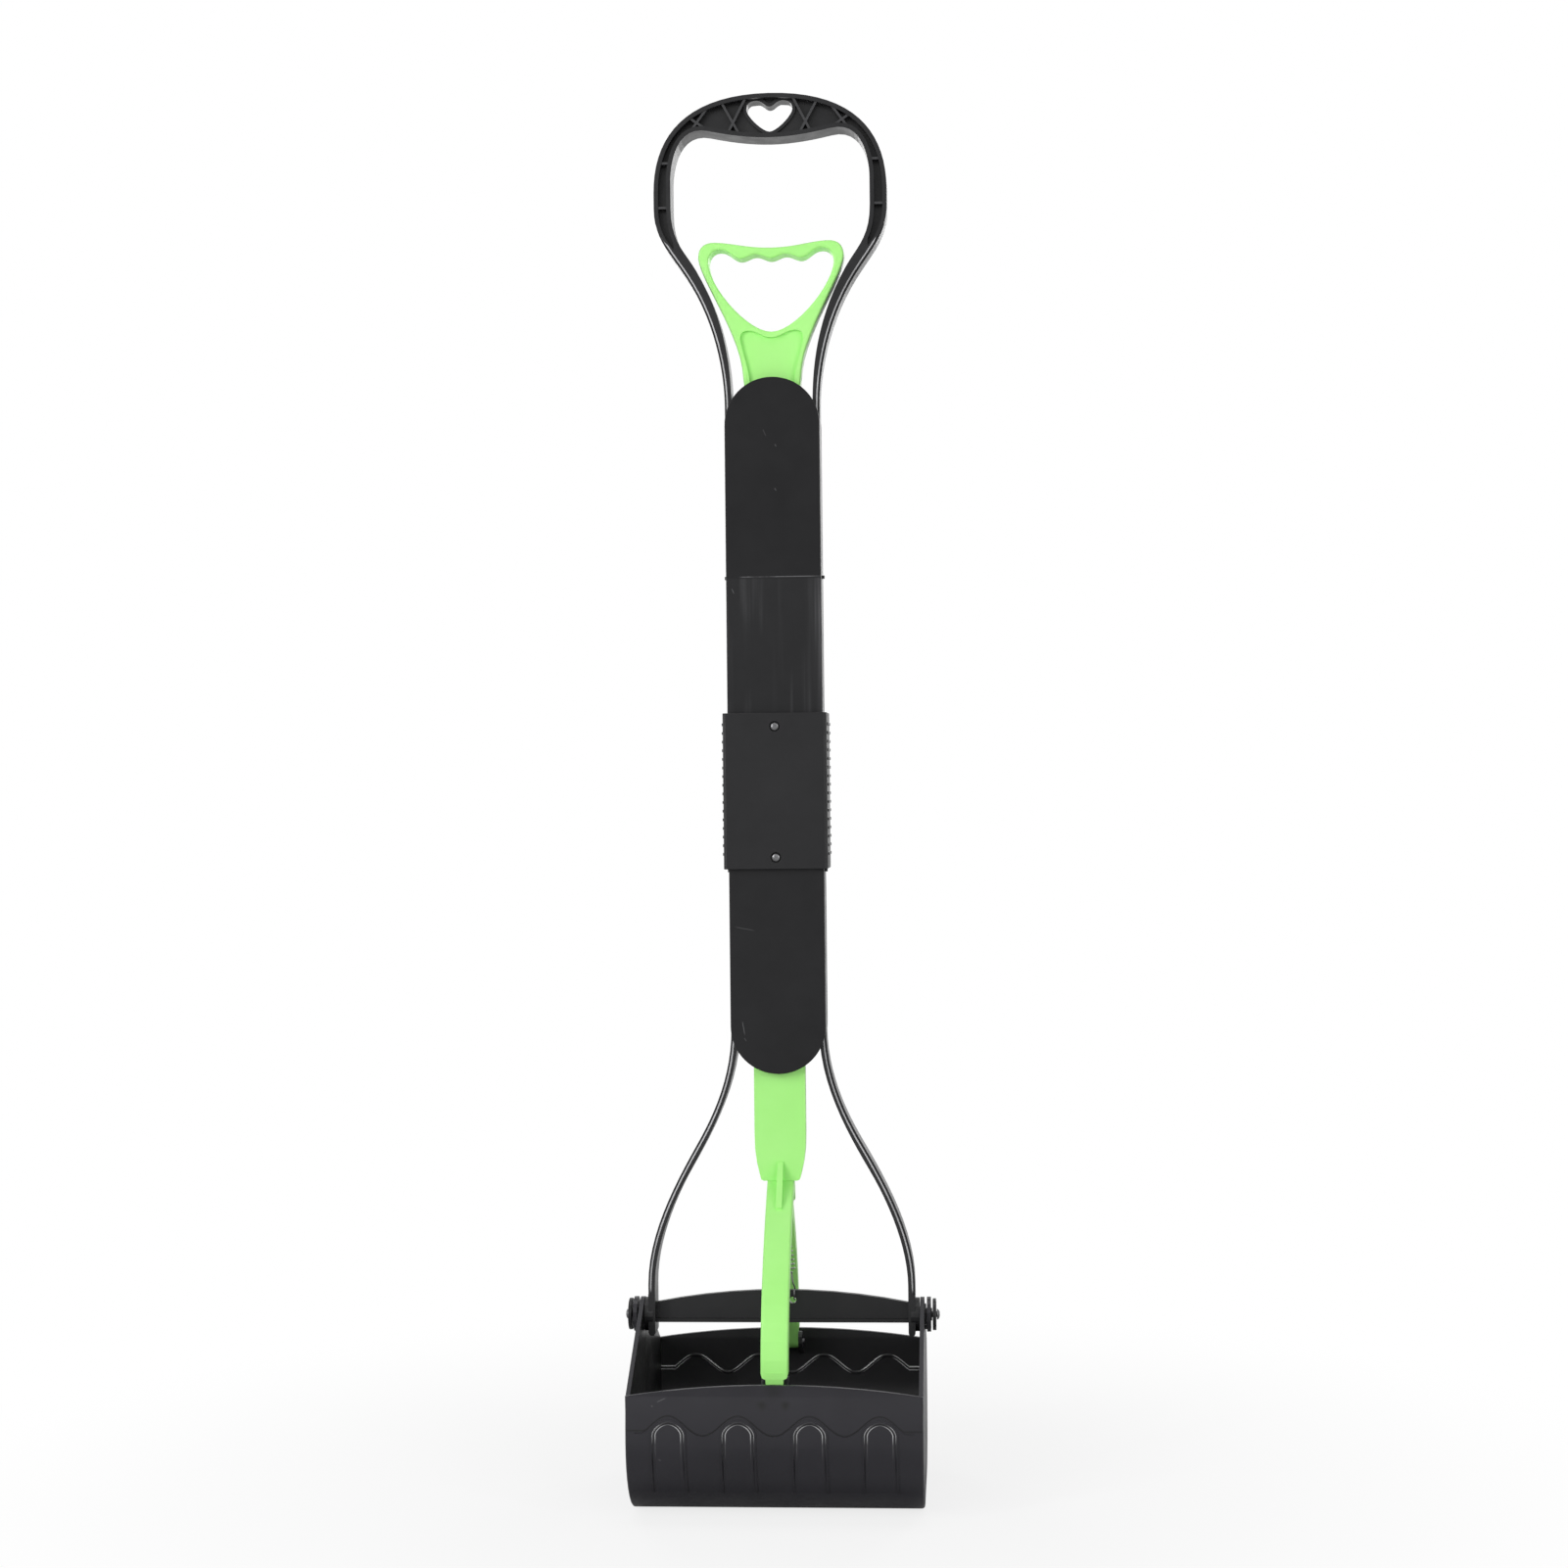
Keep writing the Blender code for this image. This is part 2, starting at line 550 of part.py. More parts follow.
def build_rear_cover(half, black, origin):
    name = half + "_rear_cover"
    sign = 1 if half == "upper" else -1
    cover = prism(name, cover_outline(half), "y", COVER_INNER_Y, COVER_OUTER_Y)
    guide_z = 0.44 if half == "upper" else 0.27
    for z in (guide_z, guide_z + 0.012):
        join(cover, box("guide", (-0.010, 0.010), (ROD_HALF_DEPTH + FIT, COVER_INNER_Y + 0.0005),
                        (z, z + 0.0016)))

    # The end at the fold stops short and slopes away from the fold axis
    end_z = FOLD_Z + sign * REAR_COVER_GAP
    cut(cover, box("end", (-0.04, 0.04), (0.0, 0.02), sorted((FOLD_Z - sign * 0.01, end_z))))
    slope_end = FOLD_Z + sign * (COVER_OUTER_Y - FOLD_Y) / REAR_RELIEF_SLOPE
    slope = [(FOLD_Y, FOLD_Z), (0.016, FOLD_Z), (0.016, slope_end), (COVER_OUTER_Y, slope_end)]
    cut(cover, prism("slope", slope, "x", -0.04, 0.04))
    if half == "upper":
        # Notch in which the hinge of the pull rod rises
        notch_top = FOLD_Z + TRIGGER_TRAVEL + KNUCKLE_RADIUS + 0.010
        cut(cover, box("notch", (-ROD_KNUCKLE_END_X - 0.0009, ROD_KNUCKLE_END_X + 0.0009),
                       (0.0, 0.02), (FOLD_Z - 0.001, notch_top)))
    screw_z = COVER_SCREW_HEIGHTS[half]
    for x in (-SCREW_X, SCREW_X):
        cut(cover, cylinder("hole", "y", (x, screw_z), 0.00125, 0.0, 0.02, 12))
        cut(cover, cylinder("seat", "y", (x, screw_z), 0.0029, COVER_OUTER_Y - 0.0014, 0.02, 20))
    return tidy(cover, name, black, origin)


def build_cover_screw(half, side, steel, origin):
    name = half + "_cover_screw_" + ("left" if side < 0 else "right")
    centre = (side * SCREW_X, COVER_SCREW_HEIGHTS[half])
    seat = COVER_OUTER_Y - 0.0014 + FIT
    head = cylinder(name, "y", centre, 0.0025, seat, seat + 0.0010, 20)
    join(head, cylinder("shank", "y", centre, 0.00085, -0.003, seat + 0.0004, 12))
    return tidy(head, name, steel, origin)


# Trigger with the upper part of the pull rod

def trigger_outer_curve():
    """Right half of the outer edge, from the top middle down to the rod."""
    points = [(0.0, 0.6317)]
    points += bezier(points[-1], (0.012, 0.6317), (0.020, 0.6345), (0.028, 0.6348), 7)
    points += bezier(points[-1], (0.0345, 0.6353), (0.0371, 0.632), (0.0371, 0.627), 7)
    points += bezier(points[-1], (0.0358, 0.6145), (0.0156, 0.588), (0.0147, 0.566), 13)
    points += bezier(points[-1], (0.0139, 0.558), (ROD_HALF_WIDTH, 0.552), (ROD_HALF_WIDTH, 0.545), 3)
    return points


def finger_opening():
    """Finger opening with three grip bumps under its top bar, as a closed outline."""
    half = [(0.0, 0.6262)]
    bump_pitch = 0.0153
    bump_steps = 12
    for step in range(1, bump_steps + 1):
        x = bump_pitch * 1.04 * step / bump_steps
        half.append((x, 0.6273 - 0.0011 * math.cos(2 * math.pi * x / bump_pitch)))
    half += bezier(half[-1], (0.0195, 0.6268), (0.0215, 0.6311), (0.026, 0.6311), 6)
    half += bezier(half[-1], (0.0298, 0.6311), (0.0321, 0.628), (0.0319, 0.624), 6)
    half += bezier(half[-1], (0.0313, 0.612), (0.012, 0.589), (0.0, 0.589), 13)
    return half + mirrored(half[1:-1])


def stem_recess():
    """Shield-shaped recess in the stem below the finger opening."""
    half = [(0.0, 0.5860)]
    half += bezier(half[-1], (0.005, 0.5860), (0.007, 0.5896), (0.0120, 0.5896), 6)
    half += bezier(half[-1], (0.0150, 0.5896), (0.0166, 0.5878), (0.0159, 0.5840), 5)
    half += bezier(half[-1], (0.0143, 0.577), (0.0117, 0.570), (0.0112, 0.562), 5)
    half.append((0.0105, 0.545))
    return half + mirrored(half[1:])


def build_trigger(green):
    rod_end = FOLD_Z + 0.00025
    outer = trigger_outer_curve()
    loop = outer + [(ROD_HALF_WIDTH - 0.0004, 0.5395)]
    depth = TRIGGER_HALF_DEPTH
    trigger = rounded_prism("trigger", mirrored(loop)[:-1] + loop, "y", -depth, depth, GREEN_ROUNDING)
    cut(trigger, rounded_prism("opening", finger_opening(), "y", -depth, depth, GREEN_ROUNDING, mouth=True))
    for low, high in ((-0.01, -RECESS_HALF), (RECESS_HALF, 0.01)):
        cut(trigger, prism("recess", stem_recess(), "y", low, high))
    join(trigger, box("rod", (-ROD_HALF_WIDTH, ROD_HALF_WIDTH), (-ROD_HALF_DEPTH, ROD_HALF_DEPTH),
                      (rod_end, 0.5415)))

    # The rod ends in two knuckles on the fold axis
    for side in (-1, 1):
        low_x, high_x = sorted((side * (ROD_KNUCKLE_SPLIT_X + FIT / 2), side * ROD_KNUCKLE_END_X))
        web = [(0.003, FOLD_Z + 0.012), (0.003, rod_end), (0.0052, rod_end), (0.0056, FOLD_Z),
               (FOLD_Y, FOLD_Z), (FOLD_Y, FOLD_Z + 0.0045), (0.0045, FOLD_Z + 0.012)]
        join(trigger, prism("web", web, "x", low_x, high_x))
        join(trigger, cylinder("knuckle", "x", (FOLD_Y, FOLD_Z), KNUCKLE_RADIUS, low_x, high_x, 20))
        cut(trigger, cylinder("bore", "x", (FOLD_Y, FOLD_Z), HINGE_PIN_RADIUS + FIT,
                              low_x - 0.001, high_x + 0.001, 16))
    # Room for the middle knuckle of the lower rod
    cut(trigger, cylinder("room", "x", (FOLD_Y, FOLD_Z), KNUCKLE_RADIUS + FIT,
                          -ROD_KNUCKLE_SPLIT_X - FIT / 2, ROD_KNUCKLE_SPLIT_X + FIT / 2, 20))
    return tidy(trigger, "trigger", green, (0.0, 0.0, FOLD_Z))


# Lower pull rod: a flat rod that ends in a wishbone with an arm to each jaw

def wishbone_outline():
    """Side view of the two arms as one arch, as a closed outline."""
    centre = [(0.0, 0.156)]
    centre += bezier(centre[-1], (-0.026, 0.137), (-LINK_Y, 0.104), (-LINK_Y, ARM_SHOULDER_Z), 12)
    half = WISHBONE_THICKNESS / 2
    upper = [p for p in offset_curve(centre, -half) if p[0] < -0.002]
    lower = [p for p in offset_curve(centre, half) if p[0] < -0.002]
    upper[-1] = (-LINK_Y - half, ARM_SHOULDER_Z)
    lower[-1] = (-LINK_Y + half, ARM_SHOULDER_Z)
    top = [(0.0, 0.1603)]
    crotch = [(0.0, 0.1512)]
    return mirrored(top + upper)[:-1] + top + upper + lower[::-1] + crotch + [(-a, b) for a, b in lower]


def build_lower_pull_rod(green):
    rod = rounded_prism("lower_pull_rod", wishbone_outline(), "x", -WISHBONE_HALF_WIDTH,
                        WISHBONE_HALF_WIDTH, GREEN_ROUNDING)

    # Flat rod, narrowed at its foot
    half = [(ROD_HALF_WIDTH, FOLD_Z - 0.00025), (ROD_HALF_WIDTH, 0.182), (0.0128, 0.174),
            (0.0119, 0.167), (0.0104, 0.1604), (0.0098, 0.1582), (0.0085, 0.1576)]
    join(rod, prism("rod", half + mirrored(half), "y", -ROD_HALF_DEPTH, ROD_HALF_DEPTH))

    # The rear arm is narrower, and both arms have rounded feet
    for side in (-1, 1):
        beside = sorted((side * REAR_ARM_HALF_WIDTH, side * 0.009))
        cut(rod, box("beside", beside, (0.0075, 0.070), (0.060, 0.1560)))
        foot = [(side * 0.0068, 0.0724), (side * 0.0080, 0.0724), (side * 0.0080, 0.0680),
                (side * 0.0046, 0.0680), (side * 0.0046, 0.0696), (side * 0.0061, 0.0703)]
        cut(rod, prism("foot", foot, "y", -0.07, -0.05))
        foot = [(a - side * 0.0009, b) for a, b in foot]
        cut(rod, prism("foot", foot, "y", 0.05, 0.07))

    # Gusset ribs in front and behind, and the eye that holds the spring
    for side in (-1, 1):
        gusset = [(side * 0.003, 0.1675), (side * 0.0046, 0.1672), (side * 0.0195, 0.1465),
                  (side * 0.018, 0.143), (side * 0.003, 0.152)]
        join(rod, prism("gusset", gusset, "x", -0.0015, 0.0015))
    eye = [(-0.010, 0.1460), (-0.004, 0.1430), (0.004, 0.1430), (0.010, 0.1460), (0.0, 0.1555)]
    join(rod, prism("eye", eye, "x", -0.0015, 0.0015))
    cut(rod, cylinder("eye_hole", "x", (0.0, SPRING_TOP_Z), SPRING_HOLE_RADIUS, -0.01, 0.01, 16))

    # A narrower tongue at the end of each arm holds the link pin
    for side in (-1, 1):
        centre = (side * LINK_Y, LINK_Z)
        tongue = [(centre[0] + 0.0034, 0.073), (centre[0] - 0.0034, 0.073)]
        tongue += arc(centre, 0.0034, 180.0, 360.0, 10)
        join(rod, prism("tongue", tongue, "x", -0.0043, 0.0043))
        cut(rod, cylinder("pin_hole", "x", centre, LINK_PIN_RADIUS + FIT, -0.01, 0.01, 16))

    # The rod ends in one knuckle on the fold axis
    reach = ROD_KNUCKLE_SPLIT_X - FIT / 2
    rod_end = FOLD_Z - 0.00025
    web = [(0.003, FOLD_Z - 0.012), (0.003, rod_end), (0.0052, rod_end), (0.0056, FOLD_Z),
           (FOLD_Y, FOLD_Z), (FOLD_Y, FOLD_Z - 0.0045), (0.0045, FOLD_Z - 0.012)]
    join(rod, prism("web", web, "x", -reach, reach))
    join(rod, cylinder("knuckle", "x", (FOLD_Y, FOLD_Z), KNUCKLE_RADIUS, -reach, reach, 20))
    cut(rod, cylinder("bore", "x", (FOLD_Y, FOLD_Z), HINGE_PIN_RADIUS + FIT, -0.006, 0.006, 16))
    for side in (-1, 1):
        low_x, high_x = sorted((side * (ROD_KNUCKLE_SPLIT_X - FIT / 2), side * (ROD_KNUCKLE_END_X + FIT)))
        cut(rod, cylinder("room", "x", (FOLD_Y, FOLD_Z), KNUCKLE_RADIUS + FIT, low_x, high_x, 20))
    return tidy(rod, "lower_pull_rod", green, (0.0, 0.0, SPRING_TOP_Z))


def build_rod_hinge_pin(steel):
    reach = ROD_KNUCKLE_END_X - 0.0002
    pin = cylinder("rod_hinge_pin", "x", (FOLD_Y, FOLD_Z), HINGE_PIN_RADIUS, -reach, reach, 16)
    return tidy(pin, "rod_hinge_pin", steel, (0.0, FOLD_Y, FOLD_Z))


def build_link_pin(name, side, steel):
    pin = cylinder(name, "x", (side * LINK_Y, LINK_Z), LINK_PIN_RADIUS, -0.0074, 0.0074, 16)
    return tidy(pin, name, steel, (0.0, side * LINK_Y, LINK_Z))


# Return spring between the wishbone and the crossbar

def spring_path():
    """Middle line of the wire: upper hook, wound coil, straight shank and lower hook."""
    upper_radius = 0.0026
    lower_radius = 0.0032
    upper = Vector((0.0, 0.0, SPRING_TOP_Z - upper_radius))
    lower = Vector((SPRING_HOLE_X + 0.0008, 0.0, SPRING_FOOT_Z + lower_radius))
    up = (upper - lower).normalized()
    side = Vector((0.0, 1.0, 0.0))
    across = side.cross(up)
    hook_steps = 14

    def hook(centre, radius, flat, lift):
        points = []
        for step in range(hook_steps + 1):
            angle = math.radians(-60.0 + 290.0 * step / hook_steps)
            points.append(centre + (flat * math.cos(angle) + lift * math.sin(angle)) * radius)
        return points

    top_hook = hook(upper, upper_radius, across, Vector((0.0, 0.0, 1.0)))
    foot_hook = hook(lower, lower_radius, side, Vector((0.0, 0.0, -1.0)))
    coil_top = upper - up * 0.0054
    coil_foot = lower + up * 0.0105
    coil = []
    count = SPRING_TURNS * SPRING_STEPS
    ease = SPRING_STEPS // 2
    for step in range(count + 1):
        ramp = min(1.0, step / ease, (count - step) / ease)
        angle = 2 * math.pi * step / SPRING_STEPS
        round_it = across * math.cos(angle) + side * math.sin(angle)
        coil.append(coil_top.lerp(coil_foot, step / count) + round_it * SPRING_RADIUS * ramp)
    shank = [coil_foot.lerp(lower + up * lower_radius * 1.6, t) for t in (0.35, 0.7, 1.0)]
    return top_hook[::-1] + [upper - up * upper_radius * 1.6] + coil + shank + foot_hook


def least_gap(points, wire, apart):
    """Least clear distance between stretches of the wire that are some way apart along it."""
    travelled = [0.0]
    for before, after in zip(points, points[1:]):
        travelled.append(travelled[-1] + (after - before).length)
    best = 1.0
    for i, a in enumerate(points):
        for j in range(i + 1, len(points)):
            if travelled[j] - travelled[i] > apart:
                best = min(best, (points[j] - a).length)
    return best - wire


def build_spring(steel):
    points = spring_path()
    curve = bpy.data.curves.new("return_spring", "CURVE")
    curve.dimensions = "3D"
    curve.bevel_depth = SPRING_WIRE / 2
    curve.bevel_resolution = 1
    curve.use_fill_caps = True
    spline = curve.splines.new("POLY")
    spline.points.add(len(points) - 1)
    for slot, point in zip(spline.points, points):
        slot.co = (point.x, point.y, point.z, 1.0)
    spring = bpy.data.objects.new("return_spring", curve)
    curve.materials.append(steel)
    bpy.context.scene.collection.objects.link(spring)
    gap = least_gap(points, SPRING_WIRE, 3 * SPRING_RADIUS)
    print("return_spring: %d turns, least gap to itself %.2f mm" % (SPRING_TURNS, gap * 1000))
    return spring


# Lock sleeve

def sleeve_outline(sign):
    """Plan of one half of the sleeve: a channel open towards the other half."""
    split = 0.00015
    corner = 0.0016
    outer = [(SLEEVE_OUT_X, sign * split), (SLEEVE_OUT_X, sign * (SLEEVE_OUT_Y - corner)),
             (SLEEVE_OUT_X - 0.0005, sign * (SLEEVE_OUT_Y - 0.0005)),
             (SLEEVE_OUT_X - corner, sign * SLEEVE_OUT_Y)]
    inner = [(SLEEVE_IN_X, sign * split), (SLEEVE_IN_X, sign * SLEEVE_IN_Y)]
    return outer + mirrored(outer) + [(-a, b) for a, b in inner] + inner[::-1]


def build_sleeve_shell(sign, black, origin):
    name = "sleeve_front_shell" if sign < 0 else "sleeve_rear_shell"
    shell = prism(name, sleeve_outline(sign), "z", SLEEVE_BOTTOM_Z, SLEEVE_TOP_Z)
    for side in (-1, 1):
        for index in range(SLEEVE_RIBS):
            z = 0.3232 + 0.00437 * index
            rib_x = sorted((side * (SLEEVE_OUT_X - 0.0004), side * (SLEEVE_OUT_X + 0.0006)))
            rib_y = sorted((sign * 0.00015, sign * 0.0112))
            join(shell, box("rib", rib_x, rib_y, (z, z + 0.0014)))
    if sign < 0:
        # Bed for the detent leaf, counterbored holes for its screws
        cut(shell, box("bed", (-0.0085, 0.0085), (-SLEEVE_IN_Y - 0.0012, -SLEEVE_IN_Y + 0.001),
                       (SLEEVE_SCREW_HEIGHTS["lower"] - 0.0045, SLEEVE_SCREW_HEIGHTS["upper"] + 0.0045)))
        for z in SLEEVE_SCREW_HEIGHTS.values():
            cut(shell, cylinder("hole", "y", (0.0, z), 0.0013, -0.02, 0.0, 12))
            cut(shell, cylinder("seat", "y", (0.0, z), 0.0026, -0.02, -SLEEVE_OUT_Y + 0.0012, 24))
    return tidy(shell, name, black, origin)


def build_sleeve_leaf(steel, origin):
    """Thin detent leaf on the inside of the front shell."""
    low = SLEEVE_SCREW_HEIGHTS["lower"] - 0.004
    high = SLEEVE_SCREW_HEIGHTS["upper"] + 0.004
    back = -SLEEVE_IN_Y - 0.0012 + FIT
    leaf = box("sleeve_detent_leaf", (-0.008, 0.008), (back, back + 0.0006), (low, high))
    for z in SLEEVE_SCREW_HEIGHTS.values():
        cut(leaf, cylinder("hole", "y", (0.0, z), 0.0013, -0.02, 0.0, 12))
    return tidy(leaf, "sleeve_detent_leaf", steel, origin)


def build_sleeve_screw(place, steel, origin):
    name = "sleeve_screw_" + place
    centre = (0.0, SLEEVE_SCREW_HEIGHTS[place])
    seat = -SLEEVE_OUT_Y + 0.0012 - FIT
    screw = cylinder(name, "y", centre, 0.0021, seat - 0.0008, seat, 20)
    join(screw, cylinder("shank", "y", centre, 0.0010, seat - 0.0004, -SLEEVE_IN_Y - 0.0003, 12))
    return tidy(screw, name, steel, origin)


# Jaws

def jaw_profile():
    """Outer line of the front jaw in side view, from above the rim down to the seam."""
    points = [(-JAW_RIM_Y - 0.0002, JAW_RIM_Z + 0.0080), (-JAW_RIM_Y, JAW_RIM_Z)]
    points += bezier(points[-1], (-0.0713, 0.0550), (-0.0722, 0.048), (-0.0722, 0.040), 3)
    points += bezier(points[-1], (-0.0722, 0.020), (-0.056, 0.0), (-0.030, 0.0), 9)
    points.append((-JAW_SEAM, 0.0))
    return points


def round_end_edges(obj, curve, radius):
    """Round the edges where the end walls of a prism along X meet the given curve."""
    bm = bmesh.new()
    bm.from_mesh(obj.data)
    places = {(round(a, 6), round(b, 6)) for a, b in curve}
    edges = []
    for edge in bm.edges:
        ends = [(round(v.co.y, 6), round(v.co.z, 6)) for v in edge.verts]
        if abs(edge.verts[0].co.x - edge.verts[1].co.x) < 1e-7 and all(e in places for e in ends):
            edges.append(edge)
    bmesh.ops.bevel(bm, geom=edges, offset=radius, offset_type="OFFSET", segments=3, profile=0.5,
                    affect="EDGES", clamp_overlap=False)
    bm.to_mesh(obj.data)
    bm.free()


def wave_height(x):
    """Height of the wavy groove across the jaw: four crests, and level beyond them."""
    pitch = PANEL_CENTRES[3] - PANEL_CENTRES[2]
    reach = abs(x)
    if reach > PANEL_CENTRES[3] + pitch / 3:
        return 0.0455
    low = 0.0442 if reach < PANEL_CENTRES[3] else 0.0435
    share = 0.5 + 0.5 * math.cos(2 * math.pi * (reach - PANEL_CENTRES[3]) / pitch)
    return max(low + (0.0536 - low) * share, 0.0455 if reach > PANEL_CENTRES[3] else 0.0)


def add_jaw_relief(jaw, place, sign):
    """Four raised arch lines, and the wave above them as a groove outside and a ridge inside."""
    skin_y = sorted((sign * 0.040, sign * 0.080))
    profile = jaw_profile()

    def skin(inner, outer):
        return prism("skin", place(offset_curve(profile, inner)[1:-1] +
                                   offset_curve(profile, outer)[1:-1][::-1]), "x", -0.068, 0.068)

    for centre in PANEL_CENTRES:
        half = PANEL_HALF_WIDTH
        arch = [(centre + half, PANEL_FOOT_Z), (centre + half, PANEL_TOP_Z - 0.0065)]
        arch += bezier(arch[-1], (centre + half, PANEL_TOP_Z - 0.0035),
                       (centre + 0.0038, PANEL_TOP_Z), (centre, PANEL_TOP_Z), 7)
        arch += [(2 * centre - a, b) for a, b in arch[:-1][::-1]]
        for flank, rise in zip((0.0, ARCH_FLANK), ARCH_LINE_RISE):
            line = offset_curve(arch, -flank) + offset_curve(arch, flank - ARCH_LINE_WIDTH)[::-1]
            ridge = prism("arch_line", line, "y", *skin_y)
            combine(ridge, skin(0.0010, -rise), "INTERSECT")
            join(jaw, ridge)

    steps = 72
    xs = [-0.0675 + 0.135 * i / steps for i in range(steps + 1)]
    middle = [(x, wave_height(x)) for x in xs]

    def ribbon(name, width):
        half = width / 2
        return prism(name, offset_curve(middle, half) + offset_curve(middle, -half)[::-1], "y", *skin_y)

    groove = ribbon("groove", GROOVE_WIDTH)
    combine(groove, skin(GROOVE_DEPTH, -0.0010), "INTERSECT")
    cut(jaw, groove)
    ridge = ribbon("ridge", WAVE_RIDGE_WIDTH)
    combine(ridge, skin(JAW_WALL + WAVE_RIDGE_RISE, JAW_WALL - 0.0006), "INTERSECT")
    join(jaw, ridge)


def build_jaw(sign, black):
    """The jaw on the front, sign -1, or the rear, sign 1."""
    name = "front_jaw" if sign < 0 else "rear_jaw"
    outer = jaw_profile()
    inner = offset_curve(outer, JAW_WALL)
    inner_x = JAW_HALF_WIDTH - JAW_WALL
    rim_inner_y = -JAW_RIM_Y + JAW_WALL

    def place(points):
        return [(-sign * a, b) for a, b in points]

    # Solid block in the shape of the end walls, which rise from the rim to the ears on the pivot
    block = list(outer)
    if sign < 0:
        block += [(-JAW_SEAM, PIVOT_Z - EAR_RADIUS)]
        block += arc((0.0, PIVOT_Z), EAR_RADIUS, -90.0, 116.0, 14)
    else:
        block += arc((0.0, PIVOT_Z), EAR_RADIUS + 2 * FIT, -92.0, -223.0, 12)
    block += [(rim_inner_y, JAW_RIM_Z + 0.0001), (rim_inner_y, outer[0][1])]
    jaw = prism(name, place(block), "x", -JAW_HALF_WIDTH, JAW_HALF_WIDTH)
    round_end_edges(jaw, place(outer[1:]), JAW_CORNER)

    # Hollow it, leaving the curved wall and the two end walls
    hollow = [(inner[0][0], 0.12)] + inner[1:-1] + [(0.02, JAW_WALL), (0.02, 0.12)]
    cut(jaw, prism("hollow", place(hollow), "x", -inner_x, inner_x))

    # Rim arched in the middle
    steps = 14
    reach = JAW_HALF_WIDTH + 0.002
    arch = [(-reach + 2 * reach * i / steps, JAW_RIM_Z + JAW_RIM_RISE * (1 - (1 - 2 * i / steps) ** 2))
            for i in range(steps + 1)]
    over = arch + [(reach, 0.10), (-reach, 0.10)]
    cut(jaw, prism("over", over, "y", *sorted((sign * (-rim_inner_y - 0.0001), sign * 0.09))))
    add_jaw_relief(jaw, place, sign)

    for side in (-1, 1):
        if sign < 0:
            hub_x = sorted((side * (JAW_HALF_WIDTH - 0.001), side * (JAW_HALF_WIDTH + 0.0009)))
            join(jaw, cylinder("hub", "x", (0.0, PIVOT_Z), 0.0055, *hub_x, 20))
        else:
            # The rear ears pass outside the front ones, so they stand out on a thick root
            ear = arc((0.0, PIVOT_Z), EAR_RADIUS, -100.0, 188.0, 20)
            ear += [(-0.0130, 0.0880), (-0.0130, 0.0795)]
            join(jaw, prism("ear", place(ear), "x", *sorted((side * REAR_EAR_X[0], side * REAR_EAR_X[1]))))
            root_y = sorted((sign * 0.0098, sign * 0.0130))
            join(jaw, box("root", sorted((side * (JAW_HALF_WIDTH - 0.001), side * (REAR_EAR_X[0] + 0.001))),
                          root_y, (0.0795, 0.0880)))
        cut(jaw, cylinder("bore", "x", (0.0, PIVOT_Z), EAR_BORE, *sorted((side * 0.0655, side * 0.078)), 24))

    # Two lugs inside the rim hold the link pin in radial slots
    ray = Vector((-LINK_Y, LINK_Z - PIVOT_Z)).normalized()
    over_ray = Vector((ray.y, -ray.x))
    pivot = Vector((0.0, PIVOT_Z))

    def from_pivot(radius, height):
        point = pivot + ray * radius + over_ray * height
        return (point.x, point.y)

    angle = math.degrees(math.atan2(ray.y, ray.x))
    lug_half = 0.0042
    slot_half = LINK_PIN_RADIUS + 0.0009
    slot_inner = 0.0597
    slot_outer = 0.0660
    lug = [from_pivot(0.0726, lug_half), from_pivot(0.0775, -lug_half)]
    nose = arc(from_pivot(slot_inner, 0.0), lug_half, angle + 90.0, angle + 270.0, 8)
    lug += nose
    if (Vector(lug[1]) - Vector(nose[0])).length > (Vector(lug[1]) - Vector(nose[-1])).length:
        lug = lug[:2] + nose[::-1]
    slot = arc(from_pivot(slot_inner, 0.0), slot_half, angle + 90.0, angle + 270.0, 8)
    slot += arc(from_pivot(slot_outer, 0.0), slot_half, angle - 90.0, angle + 90.0, 8)
    for side in (-1, 1):
        lug_x = sorted((side * 0.0047, side * 0.0067))
        join(jaw, prism("lug", place(lug), "x", *lug_x))
        cut(jaw, prism("slot", place(slot), "x", lug_x[0] - 0.001, lug_x[1] + 0.001))
    return tidy(jaw, name, black, (0.0, 0.0, PIVOT_Z))


def build_pivot_washer(side, black):
    name = "pivot_washer_" + ("left" if side < 0 else "right")
    ends = sorted((side * WASHER_X[0], side * WASHER_X[1]))
    washer = cylinder(name, "x", (0.0, PIVOT_Z), 0.0080, *ends, 28)
    cut(washer, cylinder("hole", "x", (0.0, PIVOT_Z), 0.0018, side * 0.08 - 0.01, side * 0.08 + 0.01, 16))
    return tidy(washer, name, black, (0.0, 0.0, PIVOT_Z))


def build_pivot_screw(side, steel):
    name = "pivot_screw_" + ("left" if side < 0 else "right")
    head_ends = sorted((side * PIVOT_HEAD_X[0], side * PIVOT_HEAD_X[1]))
    screw = cylinder(name, "x", (0.0, PIVOT_Z), 0.0027, *head_ends, 20)
    shank_ends = sorted((side * 0.0662, side * (PIVOT_HEAD_X[0] + 0.0005)))
    join(screw, cylinder("shank", "x", (0.0, PIVOT_Z), 0.0015, *shank_ends, 12))
    return tidy(screw, name, steel, (0.0, 0.0, PIVOT_Z))


